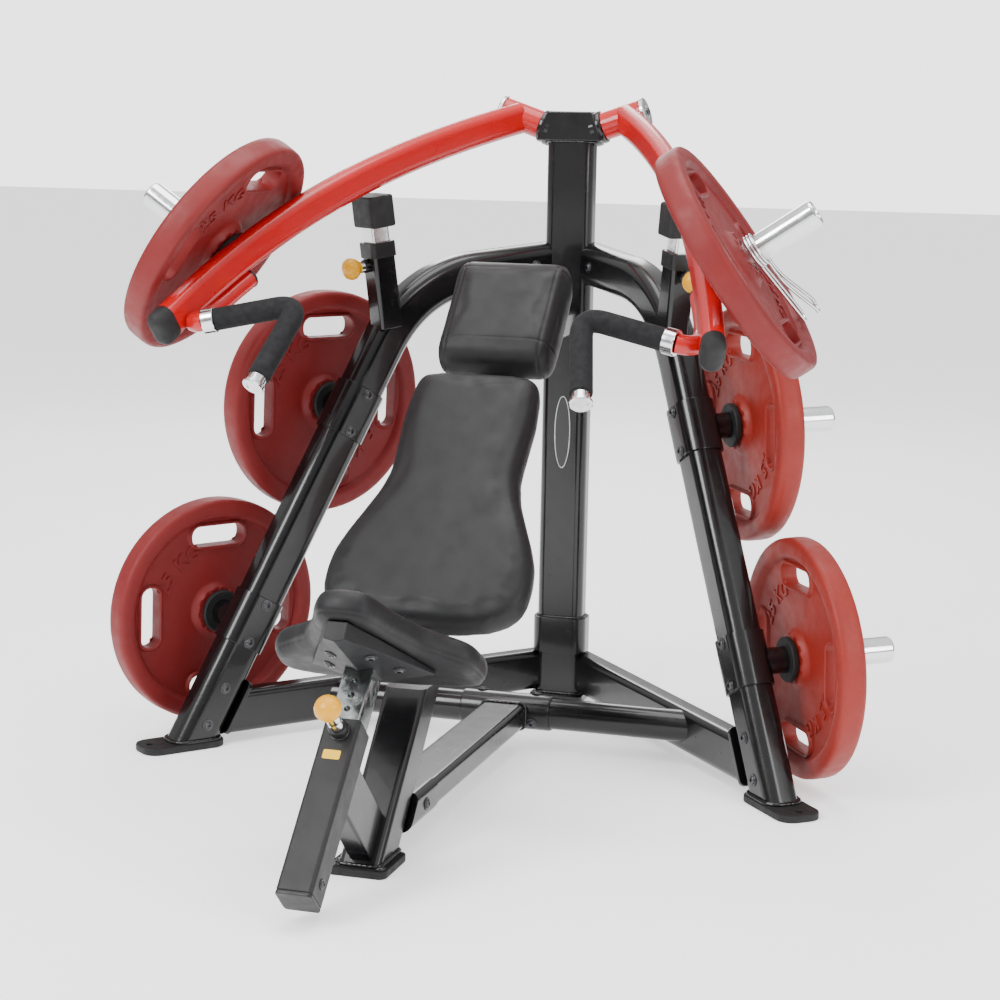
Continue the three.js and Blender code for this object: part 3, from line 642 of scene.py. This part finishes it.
def make_legs():
    arch = bezier([leg_at(778), leg_at(907), (256, 0, 922)], 20)
    straight = [leg_at(-60).lerp(leg_at(778), i / 6) for i in range(6)]
    path = straight + arch
    path += [Vector((256, 0, 922)).lerp(Vector((20, 0, 944)), i / 4) for i in range(1, 5)]
    outline = rounded(LEG_DEPTH, LEG_WIDTH, LEG_CORNER, 8)
    face = leg_at(104) - LEG_ACROSS * (LEG_WIDTH / 2 + 0.3)
    middle = (BEAM_LOW + BEAM_HIGH) / 2
    for sign, label in SIDES:
        leg = shift(sweep(outline, path, Y), LEG_FRAME)
        slice_off(leg, Vector((0, 0, FOOT_TOP)), -Z)
        slice_off(leg, Vector((0.3, 0, 0)), -X)
        piece(f"{label}_leg_tube", "frame", leg, "black", sign, node=f"{label}_leg")

        beam = shift(bar(BEAM_DEPTH, BEAM_HIGH - BEAM_LOW, 14, 960, 1, 6), axes((-10, 0, middle), Y, X))
        slice_off(beam, face - LEG_ACROSS * 4, LEG_ACROSS)
        shift(beam, LEG_FRAME)
        slice_off(beam, Vector((0.3, 0, 0)), -X)
        plate = bar(76, 112, 12, 9, 1)
        shift(plate, LEG_FRAME @ axes(face - LEG_ACROSS * 9, Y, LEG_ACROSS))
        piece(f"{label}_beam", "frame", merged(beam, plate), "black", sign, node=f"{label}_base_beam")
        foot = bar(170, 84, 30, FOOT_HEIGHT, 2.5, 10)
        foot = cut_away(foot, shift(turned_rod(7, -10, 30, 1, 32), Matrix.Translation((64, 0, 0))))
        piece(f"{label}_foot_plate", "frame", foot, "rubber", sign,
              LEG_FRAME @ Matrix.Translation((924, 0, FLOOR)), f"{label}_leg_foot")

    base = LEG_FRAME @ Matrix.Translation((leg_at(26).x, 0, 26))
    weld(ring_of(rounded(LEG_WIDTH * 1.145 + 3, LEG_DEPTH + 3, 27), base), 4.5)
    weld(ring_of(rounded(BEAM_DEPTH + 2, BEAM_HIGH - BEAM_LOW + 2, 14),
                 LEG_FRAME @ axes(face - LEG_ACROSS * 9.5, Y, LEG_ACROSS)), 3)
    for height in (125, 56):
        spot = LEG_FRAME @ leg_at(height) - LEG_NORMAL * (LEG_DEPTH / 2 + 0.2)
        fasten(spot, -LEG_NORMAL, 8)
        fasten(spot + LEG_NORMAL * (LEG_DEPTH + 0.4), LEG_NORMAL, 8)
    fasten(LEG_FRAME @ Vector((128, 0, 934)) - LEG_NORMAL * (LEG_DEPTH / 2 + 0.2), -LEG_NORMAL, 8)
    make_brackets()


def make_brackets():
    for sign, label in SIDES:
        for name, centre, height in STATIONS:
            low = leg_at(height) - LEG_RISE * 52
            at = LEG_FRAME @ axes(low, Y, LEG_RISE)
            collar = shift(bar(LEG_DEPTH + 10, LEG_WIDTH + 10, LEG_CORNER + 5, 104, 1.6, 8), at)
            horn = axes(centre, Z.cross(STORAGE_AXIS), STORAGE_AXIS)
            hub = shift(turned_rod(HORN_RADIUS, -96, -PLATE_HALF - 1, 1), horn)
            piece(f"{label}_{name}_collar", "frame", merged(collar, hub), "black", sign,
                  node=f"{label}_{name}_storage_bracket")
            rim, sleeve = lathe(flange_profile(-37)), lathe(horn_profile(-25.7, 178))
            piece(f"{label}_{name}_horn_flange", "frame", rim, "rubber", sign, horn)
            piece(f"{label}_{name}_horn_sleeve", "frame", sleeve, "chrome", sign, horn,
                  f"{label}_{name}_storage_horn")
    for _, _, height in STATIONS:
        for offset in (35, -35):
            spot = LEG_FRAME @ leg_at(height + offset)
            for facing in (1, -1):
                fasten(spot + LEG_NORMAL * facing * (LEG_DEPTH / 2 + 5.2), LEG_NORMAL * facing, 8)


def make_stops():
    rise = Vector((0.148, 0, 0.989)).normalized()
    out = Vector((rise.z, 0, -rise.x))
    top = Vector((500, -18, 988))

    def at(across, up):
        return top + out * across + rise * up

    section = LEG_FRAME @ axes(top, Y, rise)
    pin = LEG_FRAME @ axes(at(0, -44), Y, out)
    knob = [(0, 45), (10.5, 45), (12.5, 47), (13, 50), (17, 53.5), (21, 59), (22, 64), (21.2, 70),
            (18, 76), (12, 80), (6, 81.3), (0, 81.5)]
    shank = [(0, 22), (5, 22), (5, 38.3), (11.4, 38.3), (12, 39), (12, 46), (0, 46)]
    for sign, label in SIDES:
        tube = hollow(STOP_SIZE, 8, 41, 172, 121, -172)
        boss = [(5.4, 24), (13, 24), (13, 37), (12, 38), (5.4, 38)]
        merged(shift(tube, section), shift(lathe(boss, 40), pin))
        piece(f"{label}_stop_post", "frame", tube, "black", sign, node=f"{label}_stop_tube")
        collar = shift(hollow(STOP_SIZE + 6, 9, STOP_SIZE + 0.6, 30, start=-30), section)
        piece(f"{label}_stop_collar", "frame", collar, "plastic", sign)
        slider = shift(bar(40, 40, 5, 115, 1, 5, -85), section)
        piece(f"{label}_stop_slide", f"{label}_stop", slider, "chrome", sign,
              node=f"{label}_stop_slider")
        refined(f"{label}_stop_bumper", f"{label}_stop", "rubber", 4, f"{label}_stop_block")
        piece(f"{label}_stop_knob", f"{label}_stop_pin", lathe(knob), "amber", sign, pin,
              f"{label}_stop_pin")
        piece(f"{label}_stop_shank", f"{label}_stop_pin", lathe(shank, 40), "chrome", sign, pin)
        inner = bolt(at(-25.2, -30), -out, 6.5)
        piece(f"{label}_stop_bolt", "frame", inner, "bolt", sign, LEG_FRAME)


def make_base():
    along = axes((0, CROSS_Y, CROSS_Z), Z, X)
    piece("cross_pipe", "frame", turned_rod(31, -372, 372), "black", at=along, node="cross_tube")
    beam = shift(bar(88, 50, 12, 810, 1, 6), axes((0, CROSS_Y - 10, 75), X, -Y))
    sleeve = shift(bar(94, 56, 15, 235, 1.6, 6), axes((0, -975, 75), X, -Y))
    for drawing in (beam, sleeve):
        slice_off(drawing, UPRIGHT_BASE + UPRIGHT_BACK * 76.5, -UPRIGHT_BACK)
    merged(beam, sleeve, shift(turned_rod(35, -90, 88, 1.6), along))
    piece("centre_tube", "frame", beam, "black", node="centre_beam")
    upright = bar(74, 76, 12, 600, 1, 6)
    shift(upright, axes(UPRIGHT_BASE, X, UPRIGHT_RISE) @ Matrix.Translation((0, 38, -120)))
    slice_off(upright, Vector((0, 0, FOOT_TOP)), -Z)
    slice_off(upright, Vector((0, 0, 270)), Z)
    piece("upright_tube", "frame", upright, "black", node="front_upright")
    foot = shift(bar(104, 116, 14, FOOT_HEIGHT, 2.5, 8), Matrix.Translation((0, -1206, FLOOR)))
    piece("front_foot_plate", "frame", foot, "rubber", node="front_foot")

    for x in (56, -56):
        fasten((x, -382, 111.5), (0, 0.2, 0.98), 8, False)
        fasten((x, -422, 62), (0, -0.92, -0.4), 8, False)
    fasten((47, -1038, 75), X, 8)
    fasten((0, -30.3, 160), -Y, 8, False)
    for x in (-38, 38):
        fasten((x, -1247, 24.2), Z, 6.5, False)
    centre = UPRIGHT_BASE + UPRIGHT_BACK * 38
    reach = (26 - centre.z) / UPRIGHT_RISE.z
    floor_spot = centre + UPRIGHT_RISE * reach
    weld(ring_of(rounded(76, 76 / 0.7426 + 4, 13), Matrix.Translation(floor_spot)), 4, False)
    weld(ring_of(rounded(90, 52, 12), axes((0, -427, 75), X, -Y)), 3.2, False)
    for x in (-89.5, 87.5):
        weld(ring_of(circle(32, 40), axes((x, CROSS_Y, CROSS_Z), Z, X)), 2.6, False)


def make_guide():
    tube = hollow(GUIDE_SIZE, 7, 51, 300, start=-300)
    pin = axes((0, 0, -24), X, -Y)
    boss = [(5.4, 29), (15.5, 29), (15.5, 44), (14, 46), (5.4, 46)]
    merged(tube, shift(lathe(boss, 48), pin))
    piece("guide_square_tube", "frame", tube, "charcoal", at=GUIDE_FRAME, node="guide_tube")
    cap = merged(bar(GUIDE_SIZE, GUIDE_SIZE, 7, 7, 2, 6, -307.3), bar(50, 50, 4, 10, 1, 4, -300.5))
    piece("guide_plug", "frame", cap, "plastic", at=GUIDE_FRAME, node="guide_end_cap")
    refined("guide_strut", "frame", "black", 1.5, "guide_arm")
    knob = [(0, 82), (11.5, 82), (12.5, 84), (15.5, 86.5), (20.5, 93), (22, 100), (21.3, 106.5),
            (18, 113), (12, 117.4), (6, 118.9), (0, 119)]
    barrel = [(0, 27), (5, 27), (5, 46.3), (11, 46.3), (12, 47.3), (12, 60), (11, 61.5), (11, 66),
              (12, 67.5), (12, 84), (0, 84)]
    piece("seat_knob", "seat_pin", lathe(knob), "amber", at=GUIDE_FRAME @ pin, node="seat_pin")
    piece("seat_pin_barrel", "seat_pin", lathe(barrel, 56), "chrome", at=GUIDE_FRAME @ pin)
    weld(ring_of(circle(15.5, 30), GUIDE_FRAME @ pin @ Matrix.Translation((0, 0, 30.4))), 2, False)
    weld(ring_of(rounded(42, 89, 6), GUIDE_FRAME @ axes((0, 31.5, -86.5), X, Y)), 2.6, False)
    piece("plain_sticker", "frame", slab(rounded(29, 16, 2.5), 0, 0.4), "label",
          at=GUIDE_FRAME @ axes((-2, -GUIDE_SIZE / 2 - 0.05, -66), X, -Y))
    fasten(GUIDE_FRAME @ Vector((GUIDE_SIZE / 2 + 0.2, 0, -272)), X, 6)


# ---- seat and back
PUFF_FRAMES = 20


def capped_move(before, after, normal, limit):
    """A simulated move, kept from pulling inward and no longer than its limit."""
    step = after - before
    step -= normal * min(0.0, step.dot(normal))
    return before + step * min(1.0, limit / step.length) if step.length > 1e-9 else before


def stuffed(node, name, body, place, grow, held, shape, seams, limit):
    """Pad from its CAD solid: remeshed, grown, shaped, puffed by cloth pressure and given its seams.
    held, shape and seams work in the pad's own frame, called place. grow and limit are in metres."""
    back = TO_SCENE @ place
    to_pad = back.inverted()
    mesh = bmesh.new()
    mesh.from_mesh(frame["nodes"][node].data)
    bmesh.ops.remove_doubles(mesh, verts=mesh.verts, dist=1e-5)
    mesh = worked(mesh, ("REMESH", {"mode": "VOXEL", "voxel_size": 0.005}),
                  ("SMOOTH", {"factor": 0.5, "iterations": 3}))
    mesh.normal_update()
    grown = [vert.co + vert.normal * grow for vert in mesh.verts]
    for vert, point in zip(mesh.verts, grown):
        vert.co = back @ shape(to_pad @ point)
    obj = stored(mesh, name)
    start = [(v.co.copy(), v.normal.copy()) for v in obj.data.vertices]
    group = obj.vertex_groups.new(name="held")
    for vert in obj.data.vertices:
        if held(to_pad @ vert.co):
            group.add([vert.index], 1.0, "REPLACE")
    cloth = obj.modifiers.new("puff", "CLOTH")
    settings = cloth.settings
    settings.use_pressure = True
    settings.uniform_pressure_force = 4
    settings.effector_weights.gravity = 0
    settings.vertex_group_mass = "held"
    settings.quality = 6
    cloth.point_cache.frame_start, cloth.point_cache.frame_end = 1, PUFF_FRAMES
    for step in range(1, PUFF_FRAMES + 1):
        bpy.context.scene.frame_set(step)
    settle(obj)
    bpy.context.scene.frame_set(1)
    moved = [capped_move(before, vert.co, normal, limit)
             for vert, (before, normal) in zip(obj.data.vertices, start)]
    obj.data.vertices.foreach_set("co", [part for point in moved for part in point])
    obj.data.update()
    obj.vertex_groups.clear()
    taut = obj.modifiers.new("taut", "SMOOTH")
    taut.factor, taut.iterations = 0.5, 14
    obj.modifiers.new("finer", "SUBSURF").levels = 1
    settle(obj)
    sunk = []
    for vert in obj.data.vertices:
        local = to_pad @ vert.co
        depth = sum(deep * math.exp(-((seam(local) / wide) ** 2)) for seam, wide, deep in seams)
        sunk.append(vert.co - vert.normal * depth / 1000)
    obj.data.vertices.foreach_set("co", [part for point in sunk for part in point])
    obj.data.update()
    obj.data.materials.clear()
    obj.data.materials.append(LOOKS["vinyl"])
    for polygon in obj.data.polygons:
        polygon.use_smooth = True
    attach(obj, body)
    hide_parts(node)


def make_seat():
    def droop(p):
        return 7.0 * max(0.0, (abs(p.x) - 70) / 110) ** 2

    def shape(p):
        crown = 4.0 * math.exp(-((p.x / 80) ** 2)) * (1 if p.z > 30 else 0)
        return Vector((p.x, p.y, p.z + crown - droop(p)))

    seams = [(lambda p: p.z - 10 + droop(p), 1.9, 1.4)]
    stuffed("seat_pad", "seat_cushion", "seat", SEAT_FRAME, 0.002, lambda p: p.z < 8, shape, seams,
            0.004)
    refined("seat_bracket", "seat", "satin_black", 1.2, "seat_folded_bracket", 25)
    refined("seat_post", "seat", "post", 0.8, "seat_square_post")
    for x, y in ((60, 150), (-60, 150), (34, 80), (-34, 80)):
        head = bolt((x, y, -36 + abs(x) * 0.243 - 0.4), (0.236 * math.copysign(1, x), 0, -0.97), 7)
        piece(f"seat_bolt_{'left' if x > 0 else 'right'}_{y}", "seat", head, "bolt", at=SEAT_FRAME)


def make_back():
    def shape(p):
        front = max(0.0, min(1.0, (p.z + 58) / 58))
        crown = 5.0 * front * math.exp(-((p.x / 110) ** 2)) - 2.0 * front
        wide = 1 + 0.05 * max(0.0, min(1.0, (p.y + 200) / 120))
        return Vector((p.x * wide, p.y, p.z + crown))

    seams = [(lambda p: p.z + 46, 1.9, 1.4)]
    stuffed("back_pad", "back_cushion", "frame", BACK_FRAME, 0.003, lambda p: p.z < -52, shape, seams,
            0.005)

    def front_seam(height):
        return lambda p: p.y - height if p.z > -96 else 99.0

    seams = [(lambda p: abs(p.x) - 91, 1.9, 1.5)]
    seams += [(front_seam(HEAD_CENTRE + offset), 1.8, 1.3) for offset in (92, -78)]
    stuffed("head_pad", "head_cushion", "frame", BACK_FRAME, 0.003, lambda p: p.z < -112, lambda p: p,
            seams, 0.005)
    refined("pad_spine", "frame", "black", 1.5, "pad_carrier")
    fasten(BACK_FRAME @ Vector((0, 27, -117.4)), BACK_FRAME.to_3x3() @ Z, 8, False)


# ---- arms
def first_arm_normal(tangent):
    """The normal that the CAD sweep starts from, so that the section sits the same way."""
    smallest = min(range(3), key=lambda i: abs(tangent[i]))
    helper = tangent.cross(Vector([1.0 if i == smallest else 0.0 for i in range(3)])).normalized()
    return tangent.cross(helper)


def make_arms():
    path = bezier(ARM_CORNERS, ARM_STEPS)
    normal = first_arm_normal((path[1] - path[0]).normalized())
    tangents, normals = directions(path, normal)
    section = rounded(64, 40, 19.5, 8)

    handle = [path[i] + normals[i] * HANDLE_DROP for i in range(HANDLE_START, HANDLE_END + 1)]
    outward = (GRIP_RING - GRIP_CORNER).normalized()
    inward, downward = -outward, (GRIP_TIP - GRIP_CORNER).normalized()
    handle += bezier([handle[-1], handle[-1] + tangents[HANDLE_END] * 60, GRIP_RING + outward * 55,
                      GRIP_RING + outward * 11], 16)[1:]
    grip_bend = bezier([GRIP_CORNER - inward * 45, GRIP_CORNER, GRIP_CORNER + downward * 45], 14)
    grip_line = [GRIP_RING + inward * 13.5, GRIP_RING + inward * 60] + grip_bend
    grip_line += [GRIP_CORNER.lerp(GRIP_TIP, k) for k in (0.5, 0.75)] + [GRIP_TIP - downward * 2]
    hub = [(14.6, 70.4), (28, 70.4), (29, 71.4), (29, 155.2), (28, 156.2), (14.6, 156.2)]
    horn_at = axes(ARM_PLATE_CENTRE, Z.cross(ARM_PLATE_AXIS), ARM_PLATE_AXIS)
    for sign, label in SIDES:
        body = f"{label}_arm"
        arm = merged(sweep(section, path, normal), shift(lathe(hub), PIVOT_FRAME))
        piece(f"{label}_press_arm", body, arm, "red", sign, node=f"{label}_arm")
        end = axes(path[-1] + tangents[-1] * 0.3, normals[-1], tangents[-1])
        piece(f"{label}_arm_cap", body, bar(66, 42, 20.6, 50, 17, 10, -15, 7), "rubber", sign,
              end, f"{label}_arm_end_cap")
        tube = sweep(circle(HANDLE_RADIUS), handle, normals[HANDLE_START])
        piece(f"{label}_handle_pipe", body, tube, "red", sign, node=f"{label}_handle_tube")
        rear = axes(handle[0], X, -tangents[HANDLE_START])
        stopper = [(0, -6), (16.6, -6), (16.6, 0.4), (17.6, 0.8), (17.6, 4), (15.5, 6.4), (0, 6.8)]
        piece(f"{label}_handle_stopper", body, lathe(stopper, 48), "plastic", sign, rear)
        ring = [(0, -11), (22, -11), (23, -10), (23, 10), (22, 11), (0, 11)]
        tip = [(0, -6), (11, -6), (11, 0.3), (16, 0.3), (16, 15), (19, 15.6), (20, 16.6), (20, 21.4),
               (18.6, 23), (12, 23), (11, 22), (0, 22)]
        chrome = merged(shift(lathe(ring), axes(GRIP_RING, Z, inward)),
                        shift(lathe(tip, 56), axes(GRIP_TIP, X, downward)))
        piece(f"{label}_grip_ring_and_tip", body, chrome, "chrome", sign, node=f"{label}_grip_core")
        soft = sweep(circle(GRIP_RADIUS), grip_line, Z, edge=2.5)
        piece(f"{label}_grip_sleeve", body, soft, "foam", sign, node=f"{label}_grip")
        piece(f"{label}_arm_peg", body, lathe(horn_profile(-60, 161)), "chrome", sign, horn_at,
              f"{label}_arm_horn")
        piece(f"{label}_arm_peg_flange", body, lathe(flange_profile(-40)), "rubber", sign, horn_at)


# ---- plates and clips
def plate_mark(text, size, reach, middle):
    """Raised characters bent round the plate. Returns a drawing on the web's outer face."""
    curve = bpy.data.curves.new("mark", "FONT")
    curve.body = text
    curve.size = size
    curve.extrude = 1.8
    curve.offset = 0.5
    curve.space_character = 1.12
    curve.align_x = "CENTER"
    obj = linked("mark", curve)
    data = evaluated(obj)
    bpy.data.objects.remove(obj)
    mesh = bmesh.new()
    mesh.from_mesh(data)
    bmesh.ops.remove_doubles(mesh, verts=mesh.verts, dist=1e-4)
    for vert in mesh.verts:
        angle = middle - vert.co.x / reach
        out = reach + vert.co.y - size * 0.35
        vert.co = Vector((out * math.cos(angle), out * math.sin(angle), PLATE_WEB + 0.8 + vert.co.z))
    return mesh


def draw_plate():
    """Grip plate with four slots, kept as mesh data that every plate copies."""
    half = [(25.6, -22), (27, -24.4), (33, -24.4), (34.5, -22.5), (36, -21.8), (47, -21.8), (49, -21),
            (52, -17), (56, -12.5), (61, -11), (90, -11), (130, -11), (180, -11), (185, -12.5),
            (189, -18), (192.5, -22.6), (197, -24.4), (203, -25), (212, -25), (218, -24.2),
            (222, -21.5), (224.3, -17), (225, -10), (225, -3)]
    profile = half + [(r, -z) for r, z in reversed(half)]

    def ridges(radius, angle):
        return 1.6 if 35 < radius < 48 and math.sin(12 * angle) > 0 else 0.0

    slots = [Matrix.Rotation(i * math.pi / 2, 4, "Z") @ Matrix.Translation((0, SLOT_REACH, 0))
             for i in range(4)]
    cutters = [shift(slab(rounded(121, 41, 18.5, 8), -40, 40), slot) for slot in slots]
    plate = cut_away(lathe(profile, 144, ridges), merged(*cutters))
    lip = [(0, -12), (0.6, -15), (2.6, -16.6), (5, -16), (7.4, -12.6), (9, -10.6), (9, 10.6),
           (7.4, 12.6), (5, 16), (2.6, 16.6), (0.6, 15), (0, 12)]
    rings = [[Vector((p.x, p.y, z)) for p in rounded(120 + 2 * grow, 40 + 2 * grow, 18 + grow, 8)]
             for grow, z in lip]
    for slot in slots:
        merged(plate, shift(loft(bmesh.new(), rings, closed=True), slot))
    for face in (0, 1):
        for quarter in (1, 3):
            mark = plate_mark("25 KG", 42, 134, math.pi / 4 + quarter * math.pi / 2)
            merged(plate, shift(mark, Matrix.Rotation(face * math.pi, 4, "X")))
    bmesh.ops.triangulate(plate, faces=[f for f in plate.faces if len(f.verts) > 4])
    kept = bpy.data.meshes.new("plate_drawing")
    plate.to_mesh(kept)
    plate.free()
    return kept


def draw_clip():
    """Spring clip: nearly three turns of wire round the horn, and two loops as handles."""
    reach = 28.4
    coil = [Vector((reach * math.cos(a), reach * math.sin(a), 30 + 16.0 * i / 72)) for i, a in
            ((i, math.radians(25 + (360 * 3 - 50) * i / 72)) for i in range(73))]

    def loop(low, lean):
        """A handle at a height, bent up by lean at its far end."""
        rough = [(26, 12, low), (90, 14, low), (170, 15, low + lean), (188, 12, low + lean),
                 (193, 0, low + lean), (188, -12, low + lean), (170, -15, low + lean), (90, -14, low),
                 (26, -12, low)]
        points = [Vector(p) for p in rough]
        smooth = []
        for i in range(len(points) - 1):
            before = points[max(i - 1, 0)]
            after = points[min(i + 2, len(points) - 1)]
            a, b = points[i], points[i + 1]
            smooth += bezier([a, a + (b - before) / 6, b - (after - a) / 6, b], 6)[:-1]
        return smooth + [points[-1]]

    wires = [sweep(circle(3, 14), line, Z, edge=1.5) for line in (coil, loop(31, 0), loop(45, 14))]
    return shift(merged(*wires), Matrix.Rotation(math.radians(-48), 4, "Z"))


def make_plates():
    kept = draw_plate()
    spots = [("arm", ARM_PLATE_CENTRE, ARM_PLATE_AXIS, "arm_plate")]
    spots += [(name, centre, STORAGE_AXIS, f"{name}_storage_plate") for name, centre, _ in STATIONS]
    for sign, label in SIDES:
        for name, centre, axis, node in spots:
            at = axes(centre, Z.cross(axis), axis)
            if sign < 0:
                at = at @ Matrix.Diagonal((-1, 1, 1, 1))
            drawing = bmesh.new()
            drawing.from_mesh(kept)
            look = "coating_warm" if sign > 0 and name != "arm" else "coating"
            piece(f"{label}_{name}_weight", body_of(f"{label}_{node}"), drawing, look, sign, at,
                  f"{label}_{node}", 34)
        at = axes(ARM_PLATE_CENTRE, Z.cross(ARM_PLATE_AXIS), ARM_PLATE_AXIS)
        piece(f"{label}_clip_wire", f"{label}_spring_clip", draw_clip(), "chrome", sign, at,
              f"{label}_spring_clip")


# ---- studio
def make_studio():
    scene = bpy.context.scene
    floor_mesh = bmesh.new()
    bmesh.ops.create_grid(floor_mesh, x_segments=40, y_segments=40, size=30)
    floor = stored(floor_mesh, "studio_floor")
    shader = Shader("studio_floor", 0.7, specular=0.2)
    shader.paint(shader.blend(shader.noise(2, 3), (0.86, 0.86, 0.86), (0.9, 0.9, 0.9)))
    shader.rough(shader.spread(shader.noise(8, 3), 0.6, 0.8))
    fill_in(shader.surface, {"Emission Color": (1, 1, 1, 1), "Emission Strength": 0.75})
    floor.data.materials.append(shader.material)

    world = bpy.data.worlds.new("studio")
    scene.world = world
    world.use_nodes = True
    nodes, links = world.node_tree.nodes, world.node_tree.links
    output = nodes["World Output"]
    seen, lit = nodes["Background"], nodes.new("ShaderNodeBackground")
    fill_in(seen, {"Color": (1, 1, 1, 1), "Strength": 3.0})
    fill_in(lit, {"Color": (1, 1, 1, 1)})
    place, height, rise = (nodes.new(kind) for kind in (
        "ShaderNodeTexCoord", "ShaderNodeSeparateXYZ", "ShaderNodeMapRange"))
    links.new(place.outputs["Generated"], height.inputs[0])
    links.new(height.outputs["Z"], rise.inputs["Value"])
    fill_in(rise, {"From Min": -0.1, "From Max": 0.8, "To Min": 0.2, "To Max": 1.35})
    links.new(rise.outputs["Result"], lit.inputs["Strength"])
    path, mix = nodes.new("ShaderNodeLightPath"), nodes.new("ShaderNodeMixShader")
    links.new(path.outputs["Is Camera Ray"], mix.inputs[0])
    links.new(lit.outputs[0], mix.inputs[1])
    links.new(seen.outputs[0], mix.inputs[2])
    links.new(mix.outputs[0], output.inputs["Surface"])

    def panel(name, place, aim, power, width, height):
        light = bpy.data.lights.new(name, "AREA")
        light.shape = "RECTANGLE"
        light.size, light.size_y, light.energy = width, height, power
        obj = linked(name, light)
        obj.location = place
        obj.rotation_mode = "QUATERNION"
        obj.rotation_quaternion = (Vector(place) - Vector(aim)).to_track_quat("Z", "Y")

    middle = (0, -0.5, 0.6)
    panel("key", (-2.2, -4.2, 3.6), middle, 210, 1.6, 2.4)
    panel("fill", (4.2, -2.6, 2.2), middle, 90, 1.4, 2.6)
    panel("top", (0, -0.6, 4.4), middle, 150, 3.0, 3.0)
    panel("rear", (-1.5, 4.0, 3.0), middle, 80, 2.0, 2.0)

    yaw, tip, roll = math.radians(16.627), math.radians(9.43), math.radians(1.076)
    back = Vector((math.sin(yaw) * math.cos(tip), -math.cos(yaw) * math.cos(tip), math.sin(tip)))
    level = Vector((math.cos(yaw), math.sin(yaw), 0))
    above = back.cross(level)
    right = level * math.cos(roll) + above * math.sin(roll)
    up = above * math.cos(roll) - level * math.sin(roll)
    lens = bpy.data.cameras.new("camera")
    lens.sensor_width = 36
    lens.lens = 81.82
    camera = linked("camera", lens)
    turned = Matrix((right, up, back)).transposed().to_4x4()
    camera.matrix_world = Matrix.Translation((1.2290, -4.5926, 1.2148)) @ turned
    scene.camera = camera


make_studio()
make_mast()
make_legs()
make_stops()
make_base()
make_guide()
make_seat()
make_back()
make_arms()
make_plates()
piece("frame_bolt_heads", "frame", frame_bolts, "bolt")
piece("frame_weld_beads", "frame", frame_welds, "black", sharp=80)
